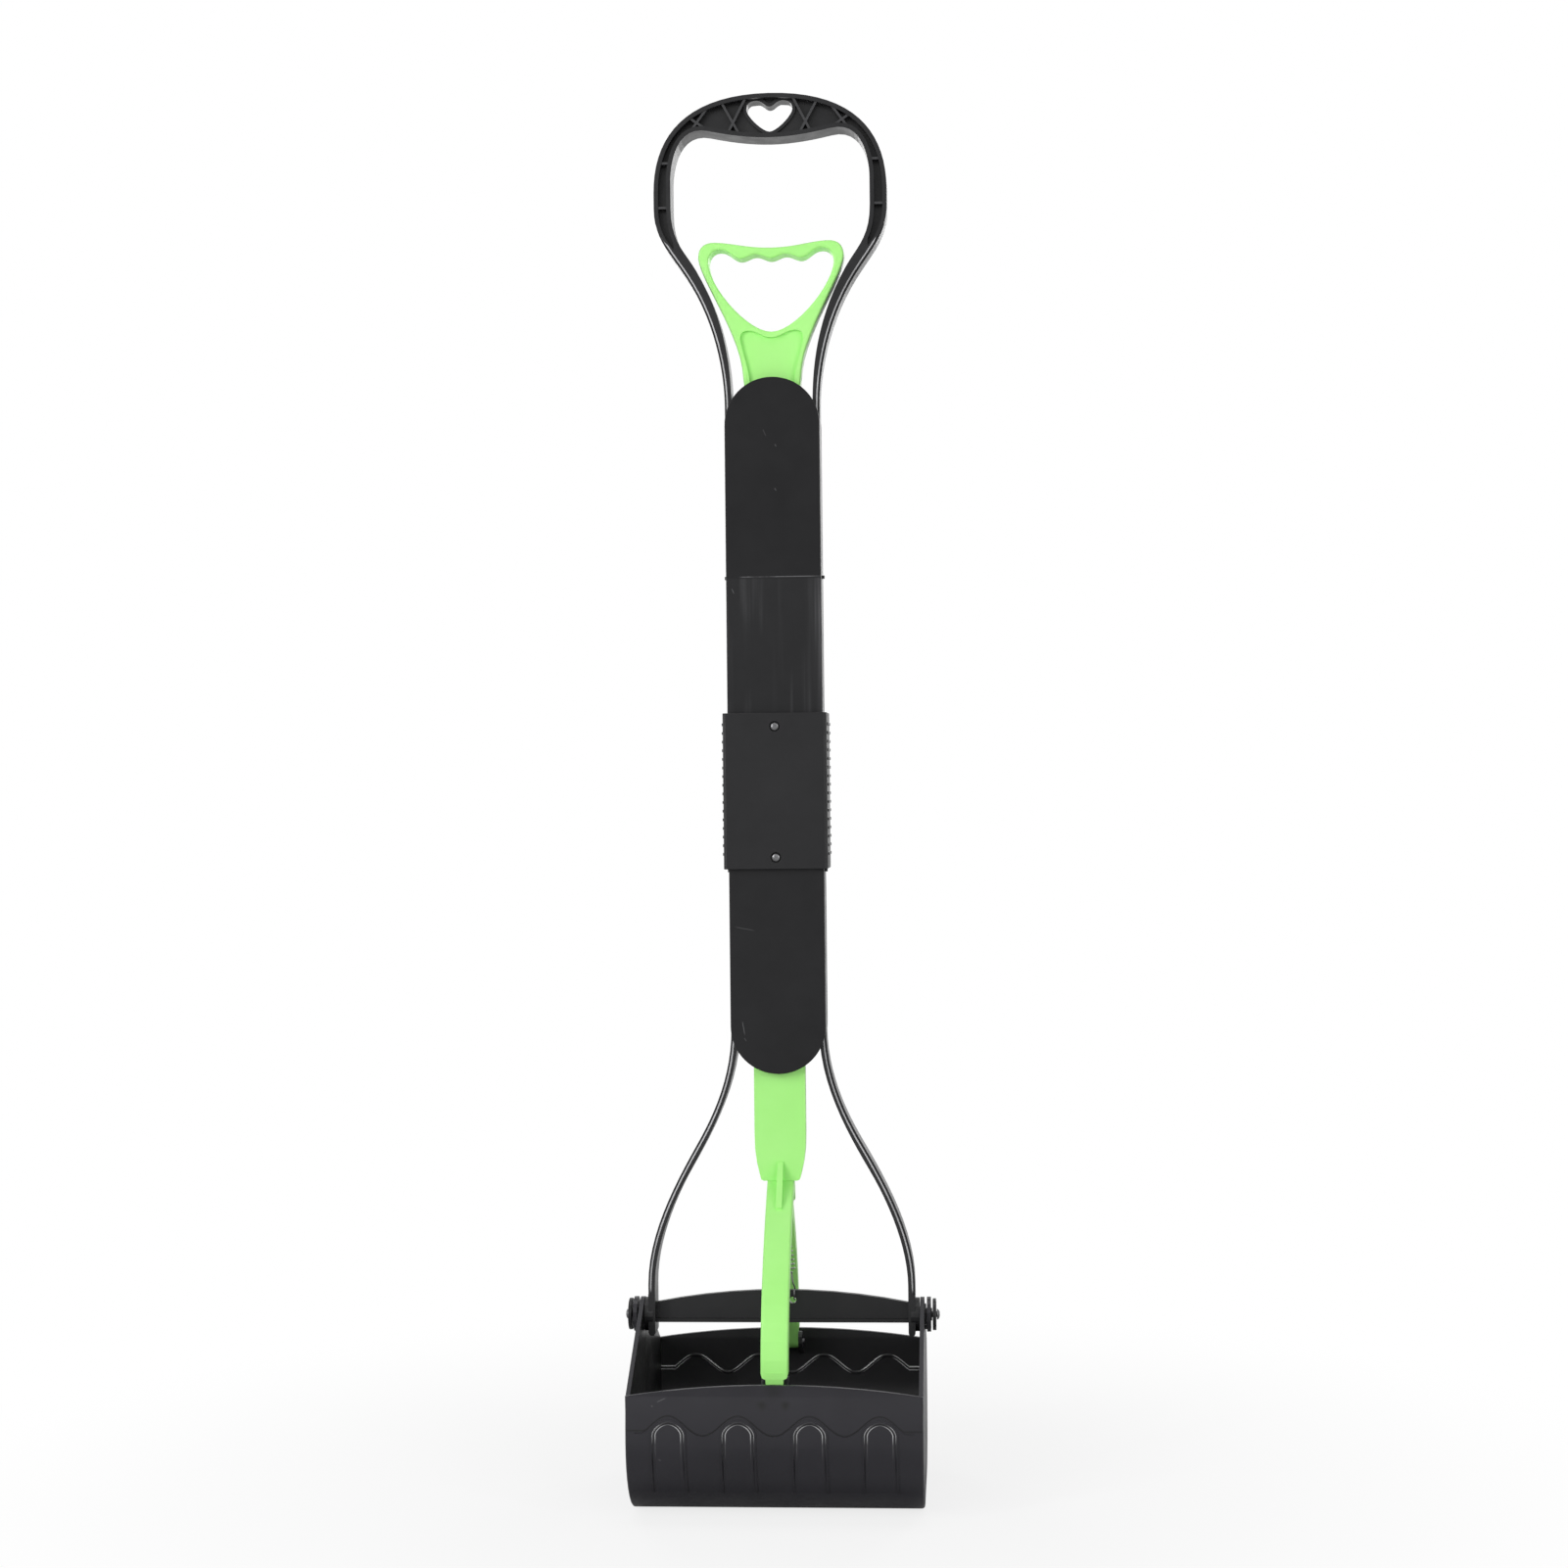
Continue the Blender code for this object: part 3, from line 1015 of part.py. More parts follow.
def main():
    for obj in list(bpy.data.objects):
        bpy.data.objects.remove(obj)
    black = make_material("black_plastic", BLACK_PLASTIC, 0.42, 0.0)
    green = make_material("green_plastic", GREEN_PLASTIC, 0.38, 0.0)
    steel = make_material("steel", STEEL, 0.35, 1.0)
    fold_axis = (0.0, FOLD_Y, FOLD_Z)
    ground = (0.0, 0.0, 0.0)
    sleeve_rest = (0.0, 0.0, SLEEVE_BOTTOM_Z)

    build_handle_frame(black)
    build_lower_frame(black)
    for half, origin in (("upper", fold_axis), ("lower", ground)):
        build_front_cover(half, black, origin)
        build_rear_cover(half, black, origin)
        for side in (-1, 1):
            build_cover_screw(half, side, steel, origin)
    for side in (-1, 1):
        build_hinge_pin(side, steel)
        build_pivot_washer(side, black)
        build_pivot_screw(side, steel)
    build_trigger(green)
    build_lower_pull_rod(green)
    build_rod_hinge_pin(steel)
    build_link_pin("front_link_pin", -1, steel)
    build_link_pin("rear_link_pin", 1, steel)
    build_spring(steel)
    for sign in (-1, 1):
        build_sleeve_shell(sign, black, sleeve_rest)
        build_jaw(sign, black)
    build_sleeve_leaf(steel, sleeve_rest)
    build_sleeve_screw("upper", steel, sleeve_rest)
    build_sleeve_screw("lower", steel, sleeve_rest)


main()
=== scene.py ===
"""Looks of the foldable pooper scooper: finishes, edges, spring, screw heads and studio.

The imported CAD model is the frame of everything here. Every place is in metres in that frame:
+Z is up, the front faces -Y, and the ground is at zero.
"""
from __future__ import annotations

import json
import logging
import math
from abc import ABC, abstractmethod
from dataclasses import dataclass
from enum import Enum
from functools import cached_property
from typing import Iterable, Sequence

import bmesh
import bpy
from mathutils import Matrix, Vector

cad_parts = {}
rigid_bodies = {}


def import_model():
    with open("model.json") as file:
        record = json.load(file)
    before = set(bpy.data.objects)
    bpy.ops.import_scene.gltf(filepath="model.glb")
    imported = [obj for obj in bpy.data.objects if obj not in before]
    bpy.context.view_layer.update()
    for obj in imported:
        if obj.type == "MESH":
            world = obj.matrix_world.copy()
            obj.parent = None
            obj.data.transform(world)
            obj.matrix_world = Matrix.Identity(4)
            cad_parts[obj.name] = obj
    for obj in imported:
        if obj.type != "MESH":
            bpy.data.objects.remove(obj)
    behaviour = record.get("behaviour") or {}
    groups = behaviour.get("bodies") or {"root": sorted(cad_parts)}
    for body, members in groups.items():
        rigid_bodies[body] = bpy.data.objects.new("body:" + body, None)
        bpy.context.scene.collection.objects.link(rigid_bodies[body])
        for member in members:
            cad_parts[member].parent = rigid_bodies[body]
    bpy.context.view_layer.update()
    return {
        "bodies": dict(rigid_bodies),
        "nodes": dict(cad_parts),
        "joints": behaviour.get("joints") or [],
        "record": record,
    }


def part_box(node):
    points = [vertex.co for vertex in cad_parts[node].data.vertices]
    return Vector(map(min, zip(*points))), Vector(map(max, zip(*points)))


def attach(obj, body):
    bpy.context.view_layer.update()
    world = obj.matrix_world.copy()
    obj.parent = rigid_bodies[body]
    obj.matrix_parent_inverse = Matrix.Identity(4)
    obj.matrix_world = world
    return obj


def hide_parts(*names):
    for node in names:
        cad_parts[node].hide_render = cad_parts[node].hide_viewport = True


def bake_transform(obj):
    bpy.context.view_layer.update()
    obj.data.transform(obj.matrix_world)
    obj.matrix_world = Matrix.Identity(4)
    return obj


LOG = logging.getLogger("scooper")
Point2 = tuple[float, float]
Point3 = tuple[float, float, float]
Rgb = tuple[float, float, float]
Material = bpy.types.Material
Nodes = dict[str, bpy.types.Object]
Socket = bpy.types.NodeSocket


class Place(Enum):
    """A choice of place on the tool."""

    @property
    def word(self) -> str:
        """The place as it stands in the names of the pieces."""
        return self.name.lower()


class Side(Place):
    """Left or right of the tool, seen from the front."""

    LEFT = -1
    RIGHT = 1


class Half(Place):
    """The half above the fold, or the one below it."""

    UPPER = 1
    LOWER = -1


class Facing(Place):
    """The front or the rear of the tool."""

    FRONT = -1
    REAR = 1


class Edges(Enum):
    """What is done to the edges of a node that stays in view."""

    OWN = "own"
    CRISP = "crisp"
    ROUNDED = "rounded"


# Nodes of the materials

class NodeTools:
    """Short calls for the nodes of any tree."""

    def __init__(self, tree: bpy.types.NodeTree) -> None:
        """Work in a tree."""
        self.tree = tree

    def feed(self, socket: Socket, value: object) -> None:
        """Link an output to an input, or write a plain value there.

        Args:
            socket: The input that is fed.
            value: An output socket, a number or a tuple.
        """
        if isinstance(value, Socket):
            self.tree.links.new(value, socket)
        else:
            socket.default_value = value

    def math(self, operation: str, *values: object) -> Socket:
        """A Math node.

        Args:
            operation: Blender's name of the operation.
            values: Its inputs, in order.

        Returns:
            The result as a socket.
        """
        node = self.tree.nodes.new("ShaderNodeMath")
        node.operation = operation
        for socket, value in zip(node.inputs, values):
            self.feed(socket, value)
        return node.outputs[0]

    def remap(self, value: object, low: float, high: float, to_low: float = 0.0,
              to_high: float = 1.0) -> Socket:
        """Stretch a range of a value smoothly onto another, with flat ends.

        Args:
            value: What is stretched.
            low: Start of its range.
            high: End of its range.
            to_low: Result at the start.
            to_high: Result at the end.

        Returns:
            The result as a socket.
        """
        node = self.tree.nodes.new("ShaderNodeMapRange")
        node.interpolation_type = "SMOOTHSTEP"
        for socket, number in zip(node.inputs[:5], (value, low, high, to_low, to_high)):
            self.feed(socket, number)
        return node.outputs[0]

    def product(self, *values: object) -> Socket:
        """Multiply sockets or numbers, in their order."""
        result = values[0]
        for value in values[1:]:
            result = self.math("MULTIPLY", result, value)
        return result

    def apart(self, first: object, second: object) -> Socket:
        """How far two values are apart."""
        return self.math("ABSOLUTE", self.math("SUBTRACT", first, second))

    def split(self, vector: Socket) -> tuple[Socket, ...]:
        """The x, y and z of a vector."""
        node = self.tree.nodes.new("ShaderNodeSeparateXYZ")
        self.feed(node.inputs[0], vector)
        return tuple(node.outputs)

    def rays(self, *names: str) -> Socket:
        """One for rays of the kinds that the Light Path node has names for, zero for others."""
        path = self.tree.nodes.new("ShaderNodeLightPath")
        total = path.outputs[names[0]]
        for name in names[1:]:
            total = self.math("MAXIMUM", total, path.outputs[name])
        return total


class NodeSheet(NodeTools):
    """The node tree of one material, with short calls for the nodes that the finishes use."""

    def __init__(self, name: str) -> None:
        """Start an empty material with one Principled shader.

        Args:
            name: Name of the material.
        """
        self.material = bpy.data.materials.new(name)
        self.material.use_nodes = True
        super().__init__(self.material.node_tree)
        self.shader = self.tree.nodes["Principled BSDF"]
        self.coords = self.tree.nodes.new("ShaderNodeTexCoord")
        self.place = self.coords.outputs["Object"]

    def noise(self, scale: float, detail: float = 3.0, stretch: Point3 = (1.0, 1.0, 1.0),
              shift: Point3 = (0.0, 0.0, 0.0)) -> Socket:
        """Noise in the frame of the tool, from about 0.2 to 0.8.

        Args:
            scale: Waves in a metre.
            detail: Octaves.
            stretch: Factors on the three axes; a small one draws the noise out.
            shift: Offset of the pattern.

        Returns:
            The noise as a socket.
        """
        mapping = self.tree.nodes.new("ShaderNodeMapping")
        mapping.inputs["Scale"].default_value = stretch
        mapping.inputs["Location"].default_value = shift
        self.feed(mapping.inputs["Vector"], self.place)
        node = self.tree.nodes.new("ShaderNodeTexNoise")
        node.inputs["Scale"].default_value = scale
        node.inputs["Detail"].default_value = detail
        self.feed(node.inputs["Vector"], mapping.outputs[0])
        return node.outputs["Fac"]

    def blend(self, share: object, first: object, second: object) -> Socket:
        """Mix two colours.

        Args:
            share: How much of the second there is.
            first: Colour at share zero.
            second: Colour at share one.

        Returns:
            The mixed colour as a socket.
        """
        node = self.tree.nodes.new("ShaderNodeMix")
        node.data_type = "RGBA"
        colours = [s for s in node.inputs if s.type == "RGBA"]
        self.feed(node.inputs[0], share)
        self.feed(colours[0], first)
        self.feed(colours[1], second)
        return [s for s in node.outputs if s.type == "RGBA"][0]

    @cached_property
    def axes(self) -> tuple[Socket, ...]:
        """The x, y and z of the shaded point."""
        return self.split(self.place)

    @cached_property
    def facing(self) -> tuple[Socket, ...]:
        """The x, y and z of the normal at the shaded point."""
        return self.split(self.coords.outputs["Normal"])

    def bump(self, height: Socket, distance: float, strength: float = 1.0,
             below: Socket | None = None) -> Socket:
        """A Bump node.

        Args:
            height: Height, from zero to one.
            distance: Depth in metres at height one.
            strength: Share of the effect.
            below: A normal that this one adds to.

        Returns:
            The normal as a socket.
        """
        node = self.tree.nodes.new("ShaderNodeBump")
        node.inputs["Distance"].default_value = distance
        node.inputs["Strength"].default_value = strength
        self.feed(node.inputs["Height"], height)
        if below is not None:
            self.feed(node.inputs["Normal"], below)
        return node.outputs[0]


@dataclass(frozen=True)
class Scratch:
    """A straight scratch on the front of a piece, from one point of the front view to another."""

    start: Point2
    end: Point2
    width: float
    strength: float
    front_y: float = -0.0100
    faded_in: float = 0.2
    fades_from: float = 0.7

    def mask(self, sheet: NodeSheet) -> Socket:
        """How much of the scratch there is at a point.

        Args:
            sheet: The material it belongs to.

        Returns:
            A socket from zero to one.
        """
        along = Vector((self.end[0] - self.start[0], self.end[1] - self.start[1]))
        length = along.length
        along.normalize()
        x = sheet.math("SUBTRACT", sheet.axes[0], self.start[0])
        z = sheet.math("SUBTRACT", sheet.axes[2], self.start[1])
        reach = sheet.math("ADD", sheet.product(x, along.x), sheet.product(z, along.y))
        across = sheet.apart(sheet.product(z, along.x), sheet.product(x, along.y))
        thin = sheet.remap(across, 0.0, self.width, self.strength, 0.0)
        begun = sheet.remap(reach, 0.0, length * self.faded_in)
        ended = sheet.remap(reach, length * self.fades_from, length, 1.0, 0.0)
        on_front = sheet.math("LESS_THAN", sheet.axes[1], self.front_y)
        return sheet.product(thin, sheet.product(begun, ended), on_front)


@dataclass(frozen=True)
class SinkMark:
    """A soft dimple on the front of the wall, over a lug on its inside, shown as painted shade and
    a rougher surface.
    """

    place: Point2
    radius: float
    strength: float
    front_y: float = -0.066

    def mask(self, sheet: NodeSheet) -> Socket:
        """How much painted dimple shade there is at a point, from zero to one."""
        x = sheet.math("SUBTRACT", sheet.axes[0], self.place[0])
        z = sheet.math("SUBTRACT", sheet.axes[2], self.place[1])
        away = sheet.math("SQRT", sheet.math("ADD", sheet.product(x, x), sheet.product(z, z)))
        soft = sheet.remap(away, 0.0, self.radius, self.strength, 0.0)
        return sheet.product(soft, sheet.math("LESS_THAN", sheet.axes[1], self.front_y))


@dataclass(frozen=True)
class WearBand:
    """A band of wear left by a sliding part, with upright streaks and a line at its upper end."""

    low: float
    high: float
    streaks: float = 0.5
    haze: float = 0.05
    low_fade: float = 0.001
    high_fade: float = 0.0015
    line_half: float = 0.00045

    def mask(self, sheet: NodeSheet) -> Socket:
        """How rubbed the surface is at a point.

        Args:
            How much wear the surface has at a point.

        Returns:
            A socket from zero to one.
        """
        z = sheet.axes[2]
        inside = sheet.product(sheet.remap(z, self.low - self.low_fade, self.low),
                               sheet.remap(z, self.high - self.high_fade, self.high, 1.0, 0.0))
        coarse = sheet.noise(150.0, 2.0, (1.0, 0.2, 0.035), (0.31, 0.0, 0.0))
        fine = sheet.noise(620.0, 2.0, (1.0, 0.2, 0.02), (0.11, 0.0, 0.4))
        patches = sheet.noise(38.0, 2.0, (1.0, 0.4, 0.3), (0.73, 0.0, 0.2))
        streak = sheet.product(sheet.remap(coarse, 0.47, 0.68),
                               sheet.remap(fine, 0.35, 0.6, 0.35, 1.0),
                               sheet.remap(patches, 0.36, 0.56))
        broken = sheet.remap(sheet.noise(90.0, 3.0, (1.0, 0.3, 0.3)), 0.38, 0.56)
        off_line = sheet.apart(z, self.high)
        line = sheet.product(sheet.remap(off_line, 0.0, self.line_half, 1.0, 0.0), broken)
        rub_and_sheen = sheet.math("ADD", sheet.product(streak, self.streaks), self.haze)
        return sheet.math("MAXIMUM", sheet.product(rub_and_sheen, inside), line)


@dataclass(frozen=True)
class JawMarks:
    """Sockets from zero to one that say what the lines on the jaws do at a point: the height of the
    relief, where highlights are painted (shine, glint), where shade is painted (gloom, end_inside),
    and where the inside of the curved wall is painted lighter (inside).
    """

    height: Socket
    shine: Socket
    glint: Socket
    gloom: Socket
    inside: Socket
    end_inside: Socket


@dataclass(frozen=True)
class JawRelief:
    """Rounding of the lines on the jaws, and painted light beside them: arches and a groove
    outside, a wave inside.

    The lines themselves are in the mesh; this rounds their backs, paints thin highlights beside
    them and painted shade along them, and paints the inside of the curved wall lighter and the
    insides of the end walls dark.
    """

    arch_pitch: float = 0.03405
    arch_shift: float = 0.000325
    arch_half: float = 0.0069
    shoulder_z: float = 0.0443
    arch_top: float = 0.0058
    pointed: float = 1.75
    line_half: float = 0.0010
    foot: Point2 = (0.015, 0.030)
    wave_low: float = 0.0442
    wave_lift: float = 0.0047
    wave_level: float = 0.0455
    wall_turned: float = 0.3
    end_turned: float = 0.6
    rise: float = 0.00035
    seam: float = 0.00065
    seam_half: float = 0.00036
    shoulder: Point2 = (0.0385, 0.0460)
    shoulder_fade: float = 0.008
    crown: Point2 = (0.0478, 0.0502)
    steep: Point2 = (0.30, 0.75)
    side_share: float = 0.10
    side_gloom: float = 0.08
    deepest: float = 0.9
    # Colours painted on the jaws: highlights beside the arches, glints on the wave inside, and
    # shade along the lines and in the end walls.
    painted_line_highlight: Rgb = (0.50, 0.50, 0.51)
    glinting: Rgb = (0.90, 0.90, 0.92)
    shaded: Rgb = (0.003, 0.003, 0.0035)

    def marks(self, sheet: NodeSheet) -> JawMarks:
        """What the lines do at a point.

        Args:
            sheet: The material it belongs to.

        Returns:
            The height of the relief, where highlights and shade are painted beside it, and
            whether the face is on the inside of the curved wall or of an end wall.
        """
        x, y, z = sheet.axes
        # Inward faces of the curved wall get a lighter painted colour; inner faces of the end walls
        # get painted shade.
        turned = sheet.product(sheet.facing[1], sheet.math("SIGN", y))
        outward = sheet.math("GREATER_THAN", turned, self.wall_turned)
        inward = sheet.math("LESS_THAN", turned, -self.wall_turned)
        across_end = sheet.product(sheet.facing[0], sheet.math("SIGN", x))
        end_inside = sheet.math("LESS_THAN", across_end, -self.end_turned)
        off_arch = self.off_arch(sheet)
        off_wave, slope = self.off_wave(sheet)
        arch = sheet.product(sheet.remap(off_arch, 0.0, self.line_half, 1.0, 0.0),
                             sheet.remap(z, *self.foot))
        ridge = sheet.remap(off_wave, 0.0, self.line_half, 1.0, 0.0)
        height = sheet.math("ADD", sheet.product(arch, outward), sheet.product(ridge, inward))
        sides = sheet.remap(z, self.shoulder[0] - self.shoulder_fade, self.shoulder[0], 0.0,
                            self.side_share)
        bent = sheet.product(sheet.remap(z, *self.shoulder), sheet.remap(z, *self.crown, 1.0, 0.0))
        steep = sheet.remap(sheet.math("ABSOLUTE", slope), *self.steep)
        # Painted highlights beside the arches outside and on the wave's slopes inside.
        shine = sheet.product(self.seams(sheet, off_arch), sheet.math("MAXIMUM", sides, bent),
                              outward)
        glint = sheet.product(self.seams(sheet, off_wave), steep, inward)
        # Painted shade along the arches and the wave groove outside.
        arch_gloom = sheet.product(sheet.remap(off_arch, 0.0, self.seam, self.deepest, 0.0),
                                   sheet.remap(z, *self.shoulder, self.side_gloom, 1.0))
        wave_gloom = sheet.remap(off_wave, 0.0, self.seam, self.deepest, 0.0)
        gloom = sheet.product(sheet.math("MAXIMUM", arch_gloom, wave_gloom), outward)
        return JawMarks(height, shine, glint, gloom, inward, end_inside)

    def off_arch(self, sheet: NodeSheet) -> Socket:
        """How far a point is from the nearest arch.

        Args:
            sheet: The material it belongs to.

        Returns:
            The distance in the front view.
        """
        x, _, z = sheet.axes
        folded = sheet.apart(sheet.math("ABSOLUTE", x), self.arch_pitch + self.arch_shift)
        across = sheet.apart(folded, self.arch_pitch / 2)
        above = sheet.math("MAXIMUM", sheet.math("SUBTRACT", z, self.shoulder_z), 0.0)
        wide = sheet.math("POWER", sheet.math("DIVIDE", across, self.arch_half), self.pointed)
        tall = sheet.math("POWER", sheet.math("DIVIDE", above, self.arch_top), self.pointed)
        ring = sheet.math("POWER", sheet.math("ADD", wide, tall), 1.0 / self.pointed)
        return sheet.product(sheet.apart(ring, 1.0), (self.arch_half + self.arch_top) / 2)

    def off_wave(self, sheet: NodeSheet) -> tuple[Socket, Socket]:
        """How far a point is from the wave.

        Args:
            sheet: The material it belongs to.

        Returns:
            The distance in the front view, and the slope of the wave there.
        """
        x, _, z = sheet.axes
        reach = sheet.math("ABSOLUTE", x)
        crest = self.arch_pitch * 1.5 + self.arch_shift
        number = 2.0 * math.pi / self.arch_pitch
        capped = sheet.math("MINIMUM", reach, crest + self.arch_pitch / 3)
        phase = sheet.product(sheet.math("SUBTRACT", capped, crest), number)
        swing = sheet.product(sheet.math("ADD", sheet.math("COSINE", phase), 1.0), self.wave_lift)
        level = sheet.product(sheet.math("GREATER_THAN", reach, crest), self.wave_level)
        wave = sheet.math("MAXIMUM", sheet.math("ADD", swing, self.wave_low), level)
        slope = sheet.product(sheet.math("SINE", phase), self.wave_lift * number)
        lean = sheet.math("SQRT", sheet.math("ADD", sheet.product(slope, slope), 1.0))
        return sheet.math("DIVIDE", sheet.apart(z, wave), lean), slope

    def seams(self, sheet: NodeSheet, away: Socket) -> Socket:
        """Two thin lines beside a ridge where highlights are painted, from the distance to its
        middle.
        """
        return sheet.remap(sheet.apart(away, self.seam), 0.0, self.seam_half, 1.0, 0.0)


@dataclass(frozen=True)
class MouldedPlastic:
    """Satin moulded plastic: soft mottling, fine grain from the mould, any wear it has, and any
    painted highlights and painted shade.
    """

    name: str
    colour: Rgb
    shade: Rgb
    roughness: float
    specular: float
    grain: float = 0.000006
    grain_scale: float = 2600.0
    mottle_scale: float = 34.0
    uneven: float = 0.05
    uneven_scale: float = 3.1
    scratches: tuple[Scratch, ...] = ()
    band: WearBand | None = None
    sinks: tuple[SinkMark, ...] = ()
    # Painted shade: the near-black colour put into each dimple, where no dimple is modelled.
    painted_dimple_shade: Rgb = (0.002, 0.002, 0.002)
    sunk_roughness: float = 0.25
    relief: JawRelief | None = None
    # Painted light: the inside of the jaws' curved wall is painted lighter than their outside.
    inside: Rgb = (0.034, 0.0335, 0.036)
    # Colour of real scratches and wear, also used for the painted highlight on the grip's rib
    # fronts.
    wear_and_rib_sheen: Rgb = (0.11, 0.11, 0.115)
    worn_roughness: float = 0.12
    worn_depth: float = 0.00003
    worn_strength: float = 0.4
    # Painted highlight on the slanted front edges of the frames' legs and arms: its colour, and
    # where it goes.
    painted_slant_highlight: Rgb | None = None
    slant_facing: float = 0.942
    slant_spread: Point2 = (0.015, 0.03)
    slant_sideways: Point2 = (0.12, 0.20)
    slant_heights: Point2 = (0.101, 0.646)
    slant_fade: float = 0.003
    # Painted highlight on the fronts of the grip's ribs: the depths they lie between, and its
    # share.
    rib_sheen_depth: Point2 | None = None
    rib_sheen_share: float = 0.30
    dull_foot: Point2 | None = None
    foot_share: float = 0.45
    see_through: float = 0.0
    see_depth: float = 0.002
    see_reach: Rgb = (0.6, 1.0, 0.4)

    def make(self) -> Material:
        """Build the material.

        Returns:
            The new material.
        """
        sheet = NodeSheet(self.name)
        cloud = sheet.noise(self.mottle_scale, 4.0)
        colour = sheet.blend(sheet.remap(cloud, 0.3, 0.7), (*self.shade, 1.0), (*self.colour, 1.0))
        rough = sheet.remap(sheet.noise(self.mottle_scale * self.uneven_scale, 3.0), 0.3, 0.7,
                            self.roughness - self.uneven, self.roughness + self.uneven)
        # Painted shade in each dimple, with a rougher surface there.
        for sink in self.sinks:
            dimple = sink.mask(sheet)
            colour = sheet.blend(dimple, colour, (*self.painted_dimple_shade, 1.0))
            rough = sheet.math("ADD", rough, sheet.product(dimple, self.sunk_roughness))
        # Painted highlight on the slanted edges.
        if self.painted_slant_highlight:
            share = sheet.product(self.slant(sheet), sheet.remap(cloud, 0.3, 0.6, 0.6, 1.0))
            colour = sheet.blend(share, colour, (*self.painted_slant_highlight, 1.0))
        # Painted highlight on the fronts of the grip's ribs.
        if self.rib_sheen_depth:
            colour = sheet.blend(self.rub_and_sheen(sheet), colour, (*self.wear_and_rib_sheen, 1.0))
        normal = sheet.bump(sheet.noise(self.grain_scale, 2.0), self.grain)
        if self.relief:
            lines = self.relief.marks(sheet)
            normal = sheet.bump(lines.height, self.relief.rise, 1.0, normal)
            # Painted light on the jaws: the inside of the curved wall lighter, shade along the
            # lines and in the end walls' insides, highlights beside the lines.
            for share, tint in ((lines.inside, self.inside), (lines.gloom, self.relief.shaded),
                                (lines.end_inside, self.relief.shaded),
                                (lines.shine, self.relief.painted_line_highlight),
                                (lines.glint, self.relief.glinting)):
                colour = sheet.blend(share, colour, (*tint, 1.0))
        marks = [wear.mask(sheet) for wear in (*self.scratches, self.band) if wear]
        if marks:
            mark = marks[0]
            for other in marks[1:]:
                mark = sheet.math("MAXIMUM", mark, other)
            colour = sheet.blend(mark, colour, (*self.wear_and_rib_sheen, 1.0))
            rough = sheet.math("ADD", rough, sheet.product(mark, self.worn_roughness))
            whole = sheet.math("SUBTRACT", 1.0, mark)
            normal = sheet.bump(whole, self.worn_depth, self.worn_strength, normal)
        gloss: object = self.specular
        if self.dull_foot:
            gloss = sheet.remap(sheet.axes[2], *self.dull_foot, self.specular * self.foot_share,
                                self.specular)
        for socket, value in (("Base Color", colour), ("Roughness", rough), ("Normal", normal),
                              ("Specular IOR Level", gloss)):
            sheet.feed(sheet.shader.inputs[socket], value)
        if self.see_through:
            sheet.shader.inputs["Subsurface Weight"].default_value = self.see_through
            sheet.shader.inputs["Subsurface Scale"].default_value = self.see_depth
            sheet.shader.inputs["Subsurface Radius"].default_value = self.see_reach
        return sheet.material

    def slant(self, sheet: NodeSheet) -> Socket:
        """Whether a face is one of the slanted edges in front or behind, where a highlight is
        painted.

        Args:
            sheet: The material it belongs to.

        Returns:
            A socket from zero to one.
        """
        across, through, _ = sheet.facing
        off = sheet.apart(sheet.math("ABSOLUTE", through), self.slant_facing)
        low, high = self.slant_heights
        height = sheet.axes[2]
        between = sheet.product(sheet.remap(height, low, low + self.slant_fade),
                                sheet.remap(height, high - self.slant_fade, high, 1.0, 0.0))
        sideways = sheet.remap(sheet.math("ABSOLUTE", across), *self.slant_sideways)
        return sheet.product(sheet.remap(off, *self.slant_spread, 1.0, 0.0), sideways, between)

    def rub_and_sheen(self, sheet: NodeSheet) -> Socket:
        """How much highlight is painted on the fronts of the grip's ribs, which lie between two
        depths.
        """
        depth = sheet.math("ABSOLUTE", sheet.axes[1])
        near, far = self.rib_sheen_depth
        return sheet.product(sheet.math("GREATER_THAN", depth, near),
                             sheet.math("LESS_THAN", depth, far),
                             sheet.math("GREATER_THAN", sheet.axes[2], self.slant_heights[1]),
                             self.rib_sheen_share)


@dataclass(frozen=True)
class DrawnSteel:
    """Plain steel with drawing lines and a little tarnish."""

    name: str
    colour: Rgb
    roughness: float
    tarnish: Rgb
    line_scale: float = 900.0
    line_depth: float = 0.000008
    spot_scale: float = 240.0
    dulled: float = 0.18

    def make(self) -> Material:
        """Build the material.

        Returns:
            The new material.
        """
        sheet = NodeSheet(self.name)
        spots = sheet.remap(sheet.noise(self.spot_scale, 4.0), 0.45, 0.7)
        colour = sheet.blend(spots, (*self.colour, 1.0), (*self.tarnish, 1.0))
        rough = sheet.remap(spots, 0.0, 1.0, self.roughness, self.roughness + self.dulled)
        lines = sheet.noise(self.line_scale, 2.0, (1.0, 1.0, 0.1))
        normal = sheet.bump(lines, self.line_depth)
        sheet.feed(sheet.shader.inputs["Base Color"], colour)
        sheet.feed(sheet.shader.inputs["Roughness"], rough)
        sheet.feed(sheet.shader.inputs["Normal"], normal)
        sheet.shader.inputs["Metallic"].default_value = 1.0
        return sheet.material


